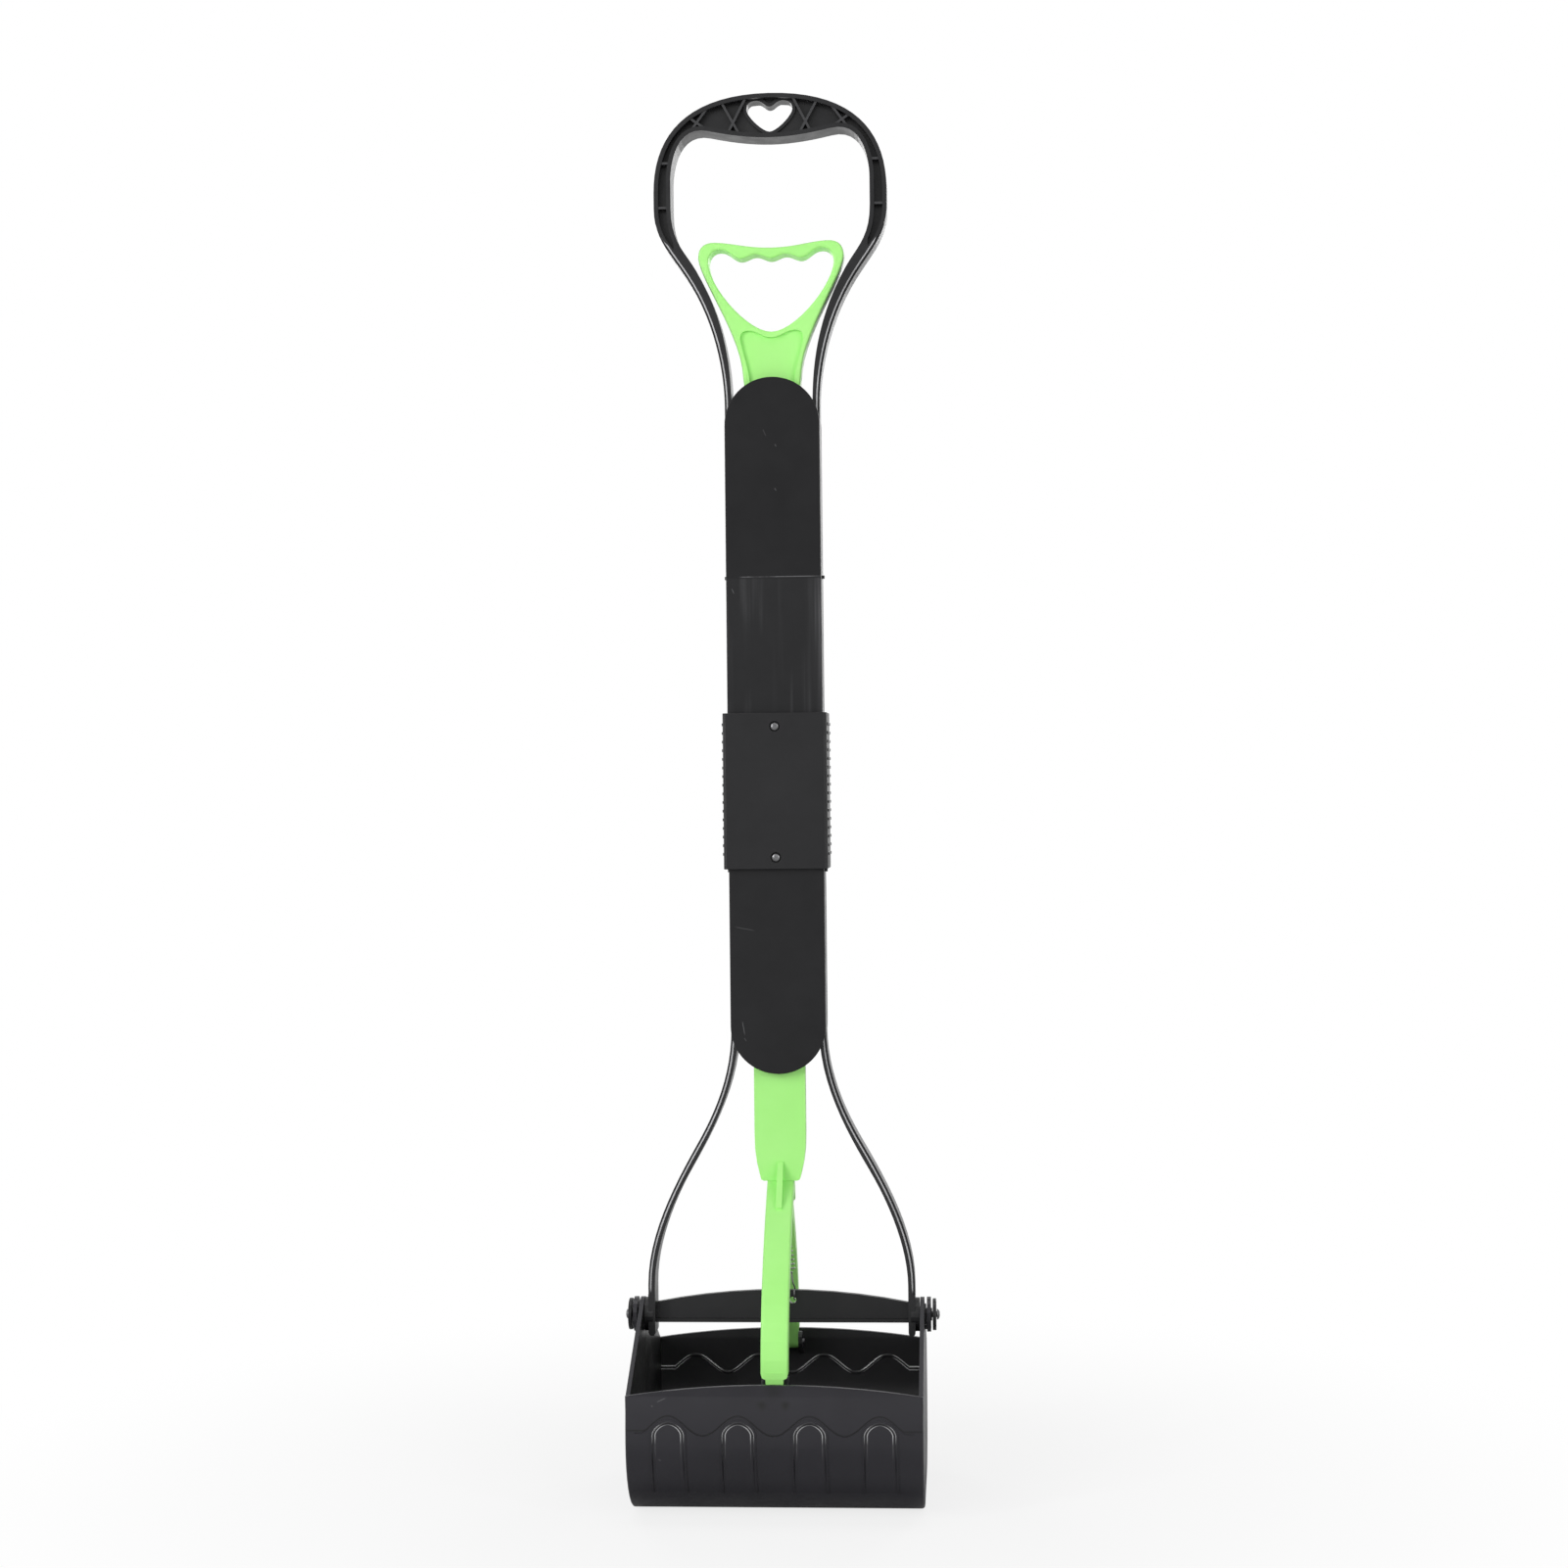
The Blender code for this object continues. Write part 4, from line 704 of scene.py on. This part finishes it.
@dataclass(frozen=True)
class Finishes:
    """All the finishes of the tool, made once and shared."""

    frame: Material
    lower_frame: Material
    upper_cover: Material
    lower_cover: Material
    sleeve: Material
    jaw: Material
    green: Material
    dark_steel: Material
    bright_steel: Material

    @classmethod
    def make(cls) -> Finishes:
        """Make every material.

        Returns:
            The finishes.
        """
        black = (0.0088, 0.0088, 0.0098)
        deep = (0.0064, 0.0064, 0.0072)
        # Both frames carry a painted highlight on their slanted edges; the upper one also on its
        # grip's rib fronts.
        frame = MouldedPlastic("black_frame_plastic", (0.0128, 0.0128, 0.0138), black,
                               0.33, 0.28, painted_slant_highlight=(0.42, 0.42, 0.43),
                               rib_sheen_depth=(0.0072, 0.0076)).make()
        lower_frame = MouldedPlastic(
            "black_lower_frame_plastic", (0.0170, 0.0170, 0.0182), (0.0135, 0.0135, 0.0145),
            0.35, 0.30, painted_slant_highlight=(0.42, 0.42, 0.43)).make()
        upper_cover = MouldedPlastic(
            "black_upper_cover_plastic", (0.0078, 0.0078, 0.0087), (0.0056, 0.0056, 0.0064),
            0.42, 0.18,
            scratches=(
                Scratch((-0.0212, 0.4585), (-0.0200, 0.4555), 0.0004, 0.7),
                Scratch((0.0014, 0.5312), (0.0022, 0.5298), 0.0005, 0.5),
                Scratch((0.0010, 0.5090), (0.0020, 0.5074), 0.0005, 0.5),
                Scratch((-0.0046, 0.5390), (-0.0030, 0.5350), 0.0004, 0.3),
            ),
            band=WearBand(0.3952, 0.4641, 0.62)).make()
        lower_cover = MouldedPlastic(
            "black_lower_cover_plastic", black, deep, 0.42, 0.22,
            scratches=(
                Scratch((-0.0220, 0.2872), (-0.0105, 0.2850), 0.0003, 0.45),
                Scratch((-0.0181, 0.2395), (-0.0168, 0.2318), 0.00035, 0.8),
                Scratch((-0.0172, 0.2310), (-0.0160, 0.2290), 0.00035, 0.5),
            )).make()
        sleeve = MouldedPlastic("black_sleeve_plastic", (0.0115, 0.0115, 0.0127),
                                (0.0092, 0.0092, 0.0102), 0.44, 0.24).make()
        jaw = MouldedPlastic(
            "black_jaw_plastic", (0.0158, 0.0150, 0.0196), (0.0132, 0.0125, 0.0163), 0.36, 0.35,
            mottle_scale=22.0, relief=JawRelief(), dull_foot=(0.010, 0.026),
            scratches=(
                Scratch((-0.0570, 0.0600), (-0.0520, 0.0622), 0.0004, 0.6, -0.066),
                Scratch((-0.0562, 0.0325), (-0.0548, 0.0318), 0.0005, 0.4, -0.066),
                Scratch((-0.0596, 0.0585), (-0.0586, 0.0578), 0.0005, 0.5, -0.066),
            ),
            sinks=(
                SinkMark((-0.0057, 0.0588), 0.0036, 0.95),
                SinkMark((0.0057, 0.0588), 0.0036, 0.95),
                SinkMark((0.0, 0.0655), 0.0065, 0.65),
            )).make()
        green = MouldedPlastic("green_plastic", (0.425, 0.935, 0.255), (0.400, 0.912, 0.233),
                               0.42, 0.35, grain=0.000004, see_through=0.06).make()
        dark_steel = DrawnSteel("dark_screw_steel", (0.16, 0.16, 0.165), 0.34,
                                (0.09, 0.09, 0.09)).make()
        bright_steel = DrawnSteel("spring_steel", (0.26, 0.26, 0.26), 0.28,
                                  (0.11, 0.11, 0.11)).make()
        return cls(frame, lower_frame, upper_cover, lower_cover, sleeve, jaw, green, dark_steel,
                   bright_steel)


# Meshes

class MeshWork:
    """Calls that make and change meshes."""

    @staticmethod
    def shade(mesh: bpy.types.Mesh, smooth_degrees: float = 35.0) -> None:
        """Shade a mesh smooth where its edges turn by less than an angle."""
        mesh.shade_smooth()
        mesh.set_sharp_from_angle(angle=math.radians(smooth_degrees))

    @staticmethod
    def from_bmesh(name: str, bm: bmesh.types.BMesh) -> bpy.types.Object:
        """Turn a bmesh into a shaded object.

        Args:
            name: Name of the object and mesh.
            bm: The bmesh, which is freed.

        Returns:
            The new object.
        """
        bmesh.ops.recalc_face_normals(bm, faces=bm.faces)
        mesh = bpy.data.meshes.new(name)
        bm.to_mesh(mesh)
        bm.free()
        MeshWork.shade(mesh)
        obj = bpy.data.objects.new(name, mesh)
        bpy.context.scene.collection.objects.link(obj)
        return obj

    @staticmethod
    def turned(profile: Sequence[Point2], sides: int) -> bmesh.types.BMesh:
        """A solid of revolution about the local Z axis.

        Args:
            profile: Radius and height of each ring, from the axis to the axis.
            sides: Points in each ring.

        Returns:
            The bmesh.
        """
        bm = bmesh.new()
        rings: list[list[bmesh.types.BMVert]] = []
        for radius, height in profile:
            if radius == 0.0:
                rings.append([bm.verts.new((0.0, 0.0, height))])
                continue
            angles = [2.0 * math.pi * i / sides for i in range(sides)]
            rings.append([bm.verts.new((radius * math.cos(a), radius * math.sin(a), height))
                          for a in angles])
        for lower, upper in zip(rings, rings[1:]):
            for i in range(sides):
                corners = [lower[i % len(lower)], lower[(i + 1) % len(lower)],
                           upper[(i + 1) % len(upper)], upper[i % len(upper)]]
                unique = list(dict.fromkeys(corners))
                if len(unique) > 2:
                    bm.faces.new(unique)
        return bm

    @staticmethod
    def cut(target: bpy.types.Object, tool: bpy.types.Object) -> None:
        """Take a tool's shape out of a target and remove the tool.

        Args:
            target: What is cut.
            tool: The cutting solid.
        """
        modifier = target.modifiers.new("cut", "BOOLEAN")
        modifier.operation = "DIFFERENCE"
        modifier.solver = "EXACT"
        modifier.object = tool
        bpy.context.view_layer.update()
        graph = bpy.context.evaluated_depsgraph_get()
        mesh = bpy.data.meshes.new_from_object(target.evaluated_get(graph))
        target.modifiers.clear()
        target.data = mesh
        bpy.data.objects.remove(tool)

    @staticmethod
    def box(size: Point3) -> bpy.types.Object:
        """A plain block of three widths about the origin, used as a cutting tool."""
        bm = bmesh.new()
        bmesh.ops.create_cube(bm, size=1.0)
        for vert in bm.verts:
            vert.co = Vector(c * s for c, s in zip(vert.co, size))
        return MeshWork.from_bmesh("tool", bm)


@dataclass
class CadNode:
    """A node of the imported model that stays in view, with its finish and its edges.

    The radius and the segments are those of rounded edges.
    """

    name: str
    finish: Material
    edges: Edges = Edges.OWN
    radius: float = 0.0
    segments: int = 3
    limit_degrees: float = 32.0
    slight_degrees: float = 12.0
    flat_front: float = 0.999
    weld: float = 0.000003

    def dress(self, nodes: Nodes) -> None:
        """Give the node its finish, and shade or round its edges.

        Args:
            nodes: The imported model's nodes by name.
        """
        obj = nodes[self.name]
        mesh = obj.data
        for slot in obj.material_slots:
            slot.material = self.finish
        if self.edges is Edges.OWN:
            LOG.info("%s: carried over with its own edges", self.name)
            return
        for layer in ("custom_normal", "sharp_edge"):
            if layer in mesh.attributes:
                mesh.attributes.remove(mesh.attributes[layer])
        mesh.shade_smooth()
        self.mark_edges(mesh)
        if self.edges is Edges.CRISP:
            LOG.info("%s: carried over with flat fronts and smooth walls", self.name)
            return
        weld = obj.modifiers.new("weld", "WELD")
        weld.merge_threshold = self.weld
        bevel = obj.modifiers.new("rounded_edges", "BEVEL")
        bevel.width = self.radius
        bevel.segments = self.segments
        bevel.limit_method = "WEIGHT"
        bevel.use_clamp_overlap = False
        bevel.harden_normals = True
        bevel.miter_outer = "MITER_ARC"
        LOG.info("%s: carried over, edges rounded by %.2f mm", self.name, self.radius * 1000)

    def mark_edges(self, mesh: bpy.types.Mesh) -> None:
        """Mark the edges that turn by more than the limit, to be rounded or to stay sharp.

        The faint edge between a flat front and the slant beside it stays sharp in any case.

        Args:
            mesh: The node's mesh, in which sharp edges are split.
        """
        keys = [tuple(round(value, 7) for value in vertex.co) for vertex in mesh.vertices]
        sides: dict[frozenset[Point3], list[Vector]] = {}
        for face in mesh.polygons:
            for first, second in face.edge_keys:
                sides.setdefault(frozenset((keys[first], keys[second])), []).append(face.normal)
        limit = math.cos(math.radians(self.limit_degrees))
        slight = math.cos(math.radians(self.slight_degrees))
        rounded = self.edges is Edges.ROUNDED
        weights = [0.0] * len(mesh.edges)
        sharp = [False] * len(mesh.edges)
        for edge in mesh.edges:
            pair = sides[frozenset(keys[index] for index in edge.vertices)]
            if len(pair) != 2:
                continue
            alike = pair[0].dot(pair[1])
            if alike < limit:
                weights[edge.index] = float(rounded)
                sharp[edge.index] = not rounded
            elif alike < slight:
                sharp[edge.index] = max(abs(pair[0].y), abs(pair[1].y)) > self.flat_front
        for name, kind, values in (("bevel_weight_edge", "FLOAT", weights),
                                   ("sharp_edge", "BOOLEAN", sharp)):
            mesh.attributes.new(name, kind, "EDGE").data.foreach_set("value", values)


@dataclass(frozen=True)
class ScrewSize:
    """Radius and height of a screw's head, and the radius of its shank."""

    head_radius: float
    head_height: float
    shank_radius: float


COVER_SCREW = ScrewSize(0.0025, 0.0010, 0.00085)
PIVOT_SCREW = ScrewSize(0.0027, 0.0015, 0.0015)
SLEEVE_SCREW = ScrewSize(0.0021, 0.0008, 0.0010)


@dataclass
class ScrewHead:
    """A small screw with a domed head and a cross recess, in place of a plain CAD one.

    The dome is in shares of the head's radius and height, from the middle of the top outwards.
    """

    node: str
    body: str
    axis: Point3
    finish: Material
    size: ScrewSize
    sides: int = 40
    dome: tuple[Point2, ...] = ((0.35, 0.03), (0.62, 0.14), (0.84, 0.34), (0.96, 0.60),
                                (1.0, 0.86), (0.96, 1.0))
    tip: float = 0.0002
    tip_share: float = 0.8
    recess_long: float = 1.25
    recess_wide: float = 0.26
    recess_deep: float = 0.9
    turn: float = 0.5

    def build(self) -> bpy.types.Object:
        """Build the screw where the CAD one is and let it stand for it.

        Returns:
            The new piece.
        """
        low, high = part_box(self.node)
        axis = Vector(self.axis)
        length = abs((high - low).dot(axis))
        top = (low + high) / 2 + axis * length / 2
        r, h, shank = self.size.head_radius, self.size.head_height, self.size.shank_radius
        profile = [(0.0, 0.0), *((r * out, -h * down) for out, down in self.dome), (shank, -h),
                   (shank, -length + self.tip), (shank * self.tip_share, -length),
                   (0.0, -length)]
        screw = MeshWork.from_bmesh(self.node + "_dressed", MeshWork.turned(profile, self.sides))
        long, thin, deep = r * self.recess_long, r * self.recess_wide, h * self.recess_deep
        for size in ((long, thin, deep), (thin, long, deep)):
            MeshWork.cut(screw, MeshWork.box(size))
        upright = Vector((0.0, 0.0, 1.0)).rotation_difference(axis).to_matrix().to_4x4()
        screw.data.transform(Matrix.Translation(top) @ upright @ Matrix.Rotation(self.turn, 4, "Z"))
        screw.data.materials.clear()
        screw.data.materials.append(self.finish)
        MeshWork.shade(screw.data)
        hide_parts(self.node)
        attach(screw, self.body)
        LOG.info("%s: built with its recess", screw.name)
        return screw


@dataclass
class Assembly(ABC):
    """A group of pieces that are dressed together."""

    look: Finishes
    nodes: Nodes

    @abstractmethod
    def build(self) -> None:
        """Dress every piece of the group."""

    def keep(self, name: str, finish: Material, edges: Edges = Edges.OWN, radius: float = 0.0,
             segments: int = 3) -> None:
        """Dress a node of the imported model; CadNode says what the edges are."""
        CadNode(name, finish, edges, radius, segments).dress(self.nodes)


class Handle(Assembly):
    """The upper frame with its D-shaped grip, and the covers over its rails."""

    def build(self) -> None:
        """Dress the grip, the covers and their screws."""
        look = self.look
        self.keep("handle_frame", look.frame, Edges.CRISP)
        self.keep("upper_front_cover", look.upper_cover, Edges.ROUNDED, 0.0005)
        self.keep("upper_rear_cover", look.upper_cover, Edges.ROUNDED, 0.0005)
        for side in Side:
            self.keep("fold_pin_" + side.word, look.dark_steel, Edges.ROUNDED, 0.0002)
            ScrewHead("upper_cover_screw_" + side.word, "upper_body", (0.0, 1.0, 0.0),
                      look.dark_steel, COVER_SCREW).build()


class LowerFrame(Assembly):
    """The lower rails with the curved arms, crossbar and covers."""

    def build(self) -> None:
        """Dress the lower frame, its covers, its screws and the jaw pivots' hardware."""
        look = self.look
        self.keep("lower_frame", look.lower_frame, Edges.CRISP)
        self.keep("lower_front_cover", look.lower_cover, Edges.ROUNDED, 0.0005)
        self.keep("lower_rear_cover", look.lower_cover, Edges.ROUNDED, 0.0005)
        for side in Side:
            ScrewHead("lower_cover_screw_" + side.word, "lower_body", (0.0, 1.0, 0.0),
                      look.dark_steel, COVER_SCREW).build()
            self.keep("pivot_washer_" + side.word, look.frame, Edges.ROUNDED, 0.0003)
            ScrewHead("pivot_screw_" + side.word, "lower_body", (float(side.value), 0.0, 0.0),
                      look.dark_steel, PIVOT_SCREW).build()


class Sleeve(Assembly):
    """The lock sleeve that slides over the fold."""

    def build(self) -> None:
        """Dress both shells, the leaf and the screws on the front."""
        look = self.look
        for facing in Facing:
            self.keep("sleeve_" + facing.word + "_shell", look.sleeve, Edges.ROUNDED, 0.0003, 2)
        self.keep("sleeve_detent_leaf", look.bright_steel)
        for half in Half:
            ScrewHead("sleeve_screw_" + half.word, "sleeve_body", (0.0, -1.0, 0.0),
                      look.dark_steel, SLEEVE_SCREW).build()


@dataclass
class PullLinkage(Assembly):
    """The green trigger and rod with the wishbone, their pins and the return spring."""

    wire: float = 0.0007
    coil_radius: float = 0.00215
    turns: int = 13
    turn_steps: int = 20
    top_z: float = 0.1465
    foot_z: float = 0.0965
    hole_x: float = 0.0055
    hole_lean: float = 0.0008
    upper_radius: float = 0.0026
    lower_radius: float = 0.0032
    hook_start: float = -60.0
    hook_sweep: float = 290.0
    hook_steps: int = 24
    hook_lead: float = 1.6
    top_lead: float = 0.0054
    foot_lead: float = 0.0105

    def build(self) -> None:
        """Dress the trigger, rod and pins, and wind the spring."""
        look = self.look
        self.keep("trigger", look.green)
        self.keep("lower_pull_rod", look.green)
        for name in ("rod_hinge_pin", "front_link_pin", "rear_link_pin"):
            self.keep(name, look.dark_steel, Edges.ROUNDED, 0.0002)
        self.wind_spring()

    def hook(self, centre: Vector, radius: float, flat: Vector, lift: Vector) -> list[Vector]:
        """An open loop of wire round a hole, in the plane of two directions."""
        angles = [math.radians(self.hook_start + self.hook_sweep * step / self.hook_steps)
                  for step in range(self.hook_steps + 1)]
        return [centre + (flat * math.cos(a) + lift * math.sin(a)) * radius for a in angles]

    def spring_line(self) -> list[Vector]:
        """Middle line of the wire: upper hook, coil, straight shank and lower hook.

        Returns:
            The points in order from the top.
        """
        upper = Vector((0.0, 0.0, self.top_z - self.upper_radius))
        lower = Vector((self.hole_x + self.hole_lean, 0.0, self.foot_z + self.lower_radius))
        up = (upper - lower).normalized()
        side = Vector((0.0, 1.0, 0.0))
        across = side.cross(up)
        top_hook = self.hook(upper, self.upper_radius, across, Vector((0.0, 0.0, 1.0)))
        foot_hook = self.hook(lower, self.lower_radius, side, Vector((0.0, 0.0, -1.0)))
        coil_top = upper - up * self.top_lead
        coil_foot = lower + up * self.foot_lead
        count = self.turns * self.turn_steps
        ease = self.turn_steps // 2
        coil = []
        for step in range(count + 1):
            ramp = min(1.0, step / ease, (count - step) / ease)
            angle = 2.0 * math.pi * step / self.turn_steps
            round_it = across * math.cos(angle) + side * math.sin(angle)
            coil.append(coil_top.lerp(coil_foot, step / count) + round_it * self.coil_radius * ramp)
        shank_foot = lower + up * self.lower_radius * self.hook_lead
        shank = [coil_foot.lerp(shank_foot, share) for share in (0.35, 0.7, 1.0)]
        neck = upper - up * self.upper_radius * self.hook_lead
        return top_hook[::-1] + [neck] + coil + shank + foot_hook

    def wind_spring(self) -> bpy.types.Object:
        """Build the spring as a tube that stretches between the rod and the crossbar.

        Returns:
            The new piece.
        """
        curve = bpy.data.curves.new("return_spring_line", "CURVE")
        curve.dimensions = "3D"
        curve.bevel_depth = self.wire / 2
        curve.bevel_resolution = 3
        curve.use_fill_caps = True
        points = self.spring_line()
        spline = curve.splines.new("POLY")
        spline.points.add(len(points) - 1)
        for slot, point in zip(spline.points, points):
            slot.co = (*point, 1.0)
        holder = bpy.data.objects.new("return_spring_line", curve)
        bpy.context.scene.collection.objects.link(holder)
        bpy.context.view_layer.update()
        graph = bpy.context.evaluated_depsgraph_get()
        mesh = bpy.data.meshes.new_from_object(holder.evaluated_get(graph))
        bpy.data.objects.remove(holder)
        mesh.name = "return_spring_wound"
        mesh.materials.clear()
        mesh.materials.append(self.look.bright_steel)
        mesh.shade_smooth()
        spring = bpy.data.objects.new("return_spring_wound", mesh)
        bpy.context.scene.collection.objects.link(spring)
        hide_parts("return_spring")
        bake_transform(spring)
        LOG.info("%s: %d turns of %.1f mm wire", spring.name, self.turns, self.wire * 1000)
        return spring


@dataclass
class JawPair(Assembly):
    """The two half bowls, shaded as the smooth curve that their facets follow."""

    lines: tuple[tuple[Point2, Point2, Point2, Point2], ...] = (
        ((-0.0702, 0.0705), (-0.0702, 0.0680), (-0.0702, 0.0650), (-0.0702, 0.0625)),
        ((-0.0702, 0.0625), (-0.0713, 0.0550), (-0.0722, 0.0480), (-0.0722, 0.0400)),
        ((-0.0722, 0.0400), (-0.0722, 0.0200), (-0.0560, 0.0), (-0.0300, 0.0)),
        ((-0.0300, 0.0), (-0.0200, 0.0), (-0.0100, 0.0), (-0.0003, 0.0)),
    )
    samples: int = 14
    alike_degrees: float = 17.0

    def build(self) -> None:
        """Dress both jaws."""
        profile = self.profile()
        for facing in Facing:
            name = facing.word + "_jaw"
            self.keep(name, self.look.jaw)
            self.smooth_wall(self.nodes[name].data, profile)

    def profile(self) -> list[tuple[Vector, Vector]]:
        """Points of the outer curve of the front jaw in side view, with the normals there.

        Returns:
            Pairs of a point and a normal, both as y and z.
        """
        found = []
        for a, b, c, d in self.lines:
            for step in range(self.samples):
                t = step / self.samples
                s = 1.0 - t
                place = Vector(s ** 3 * p + 3 * s * s * t * q + 3 * s * t * t * r + t ** 3 * u
                               for p, q, r, u in zip(a, b, c, d))
                along = Vector(s * s * (q - p) + 2 * s * t * (r - q) + t * t * (u - r)
                               for p, q, r, u in zip(a, b, c, d)).normalized()
                found.append((place, Vector((along.y, -along.x))))
        return found

    def smooth_wall(self, mesh: bpy.types.Mesh, profile: list[tuple[Vector, Vector]]) -> None:
        """Give the curved wall the normals of the curve, and leave every other face alone.

        Args:
            mesh: The jaw's mesh.
            profile: The curve from profile().
        """
        alike = math.cos(math.radians(self.alike_degrees))
        known: dict[int, Vector] = {}
        normals = [Vector(corner.vector) for corner in mesh.corner_normals]
        for face in mesh.polygons:
            for corner, index in zip(face.loop_indices, face.vertices):
                if index not in known:
                    place = mesh.vertices[index].co
                    side = -1.0 if place.y < 0.0 else 1.0
                    flat = Vector((-abs(place.y), place.z))
                    normal = min(profile, key=lambda pair: (pair[0] - flat).length_squared)[1]
                    known[index] = Vector((0.0, -side * normal.x, normal.y))
                match = known[index].dot(face.normal)
                if abs(match) > alike:
                    normals[corner] = known[index] * math.copysign(1.0, match)
        mesh.normals_split_custom_set(normals)


@dataclass(frozen=True)
class Lamp:
    """A soft rectangular lamp: where it stands, its width and height, and its watts."""

    name: str
    place: Point3
    size: Point2
    power: float
    target: Point3 = (0.0, 0.0, 0.37)

    def build(self) -> None:
        """Put the lamp in the scene, pointed at its target."""
        data = bpy.data.lights.new(self.name, "AREA")
        data.shape = "RECTANGLE"
        data.size, data.size_y = self.size
        data.energy = self.power
        lamp = bpy.data.objects.new(self.name, data)
        lamp.location = self.place
        direction = Vector(self.target) - Vector(self.place)
        lamp.rotation_mode = "QUATERNION"
        lamp.rotation_quaternion = direction.to_track_quat("-Z", "Y")
        bpy.context.scene.collection.objects.link(lamp)


@dataclass
class Studio:
    """Pale floor, white surroundings, soft lamps, and the camera of the photograph."""

    distance: float = 1.372
    height: float = 0.3592
    yaw_degrees: float = 3.9
    roll: float = 0.01045
    pan: float = 0.0026182
    lens: float = 61.8
    diffuse_light: float = 0.24
    floor_radius: float = 9.0
    floor_drop: float = 0.0004
    floor_tint: float = 0.86
    lamps: tuple[Lamp, ...] = (
        Lamp("left_strip", (-1.35, -1.25, 0.85), (0.20, 1.3), 13.0),
        Lamp("right_strip", (1.45, -1.15, 0.80), (0.20, 1.3), 6.0),
        Lamp("front_left_softbox", (-1.15, -2.1, 1.05), (0.8, 0.8), 10.5),
        Lamp("front_right_softbox", (1.25, -2.1, 1.05), (0.8, 0.8), 8.0),
        Lamp("top_softbox", (0.0, -0.1, 1.9), (1.0, 0.8), 5.0),
        Lamp("rear_left_softbox", (-1.1, 2.1, 0.95), (0.8, 0.8), 10.0),
        Lamp("rear_right_softbox", (1.1, 2.1, 0.95), (0.8, 0.8), 10.0),
    )

    def build(self) -> None:
        """Set up the world, the floor, the lamps and the camera."""
        self.world()
        self.floor()
        for lamp in self.lamps:
            lamp.build()
        self.camera()

    def world(self) -> None:
        """White surroundings to look at, and dimmer ones to light with."""
        world = bpy.data.worlds.new("studio_world")
        bpy.context.scene.world = world
        world.use_nodes = True
        tree = world.node_tree
        back = tree.nodes["Background"]
        back.inputs["Color"].default_value = (1.0, 1.0, 1.0, 1.0)
        tools = NodeTools(tree)
        seen = tools.rays("Is Camera Ray", "Is Glossy Ray", "Is Transmission Ray")
        tools.feed(back.inputs["Strength"], tools.remap(seen, 0.0, 1.0, self.diffuse_light, 1.0))

    def floor(self) -> None:
        """A pale floor that fades into the white around it and keeps the tool's shadow."""
        bm = bmesh.new()
        bmesh.ops.create_circle(bm, cap_ends=True, segments=96, radius=self.floor_radius)
        floor = MeshWork.from_bmesh("studio_floor", bm)
        floor.location = (0.0, 0.0, -self.floor_drop)
        material = bpy.data.materials.new("pale_floor")
        material.use_nodes = True
        tree = material.node_tree
        shader = tree.nodes["Principled BSDF"]
        shader.inputs["Base Color"].default_value = (*[self.floor_tint] * 3, 1.0)
        shader.inputs["Roughness"].default_value = 0.9
        shader.inputs["Specular IOR Level"].default_value = 0.1
        glow = tree.nodes.new("ShaderNodeEmission")
        glow.inputs["Color"].default_value = (1.0, 1.0, 1.0, 1.0)
        mix = tree.nodes.new("ShaderNodeMixShader")
        place = tree.nodes.new("ShaderNodeTexCoord")
        length = tree.nodes.new("ShaderNodeVectorMath")
        length.operation = "LENGTH"
        tree.links.new(place.outputs["Object"], length.inputs[0])
        tools = NodeTools(tree)
        shares = []
        for names, start, end, near in ((("Is Camera Ray", "Is Transmission Ray"), 0.1, 0.5, 0.8),
                                        (("Is Glossy Ray",), 0.2, 1.2, 0.0)):
            fade = tools.remap(length.outputs["Value"], start, end, near, 1.0)
            shares.append(tools.product(tools.rays(*names), fade))
        tools.feed(mix.inputs[0], tools.math("MAXIMUM", *shares))
        tools.feed(mix.inputs[1], shader.outputs[0])
        tools.feed(mix.inputs[2], glow.outputs[0])
        tools.feed(tree.nodes["Material Output"].inputs["Surface"], mix.outputs[0])
        floor.data.materials.append(material)

    def camera(self) -> None:
        """The camera at the photograph's angle: level, at mid height, a little to the right."""
        data = bpy.data.cameras.new("photo_camera")
        data.lens = self.lens
        data.sensor_width = 36.0
        data.clip_start = 0.05
        camera = bpy.data.objects.new("photo_camera", data)
        yaw = math.radians(self.yaw_degrees)
        place = Vector((self.distance * math.sin(yaw), -self.distance * math.cos(yaw), self.height))
        turn = (Matrix.Rotation(yaw - self.pan, 4, "Z") @ Matrix.Rotation(math.pi / 2, 4, "X")
                @ Matrix.Rotation(-self.roll, 4, "Z"))
        camera.matrix_world = Matrix.Translation(place) @ turn
        bpy.context.scene.collection.objects.link(camera)
        bpy.context.scene.camera = camera
        settings = bpy.context.scene.view_settings
        settings.view_transform = "Standard"


def corners(box: Iterable[Vector]) -> list[list[float]]:
    """A box as plain lists of numbers."""
    return [[float(value) for value in corner] for corner in box]


def main() -> None:
    """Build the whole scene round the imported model."""
    logging.basicConfig(level=logging.INFO, format="%(message)s")
    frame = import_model()
    nodes = frame["nodes"]
    finishes = Finishes.make()
    for assembly in (Handle, LowerFrame, Sleeve, PullLinkage, JawPair):
        assembly(finishes, nodes).build()
    Studio().build()


if __name__ == "__main__":
    main()
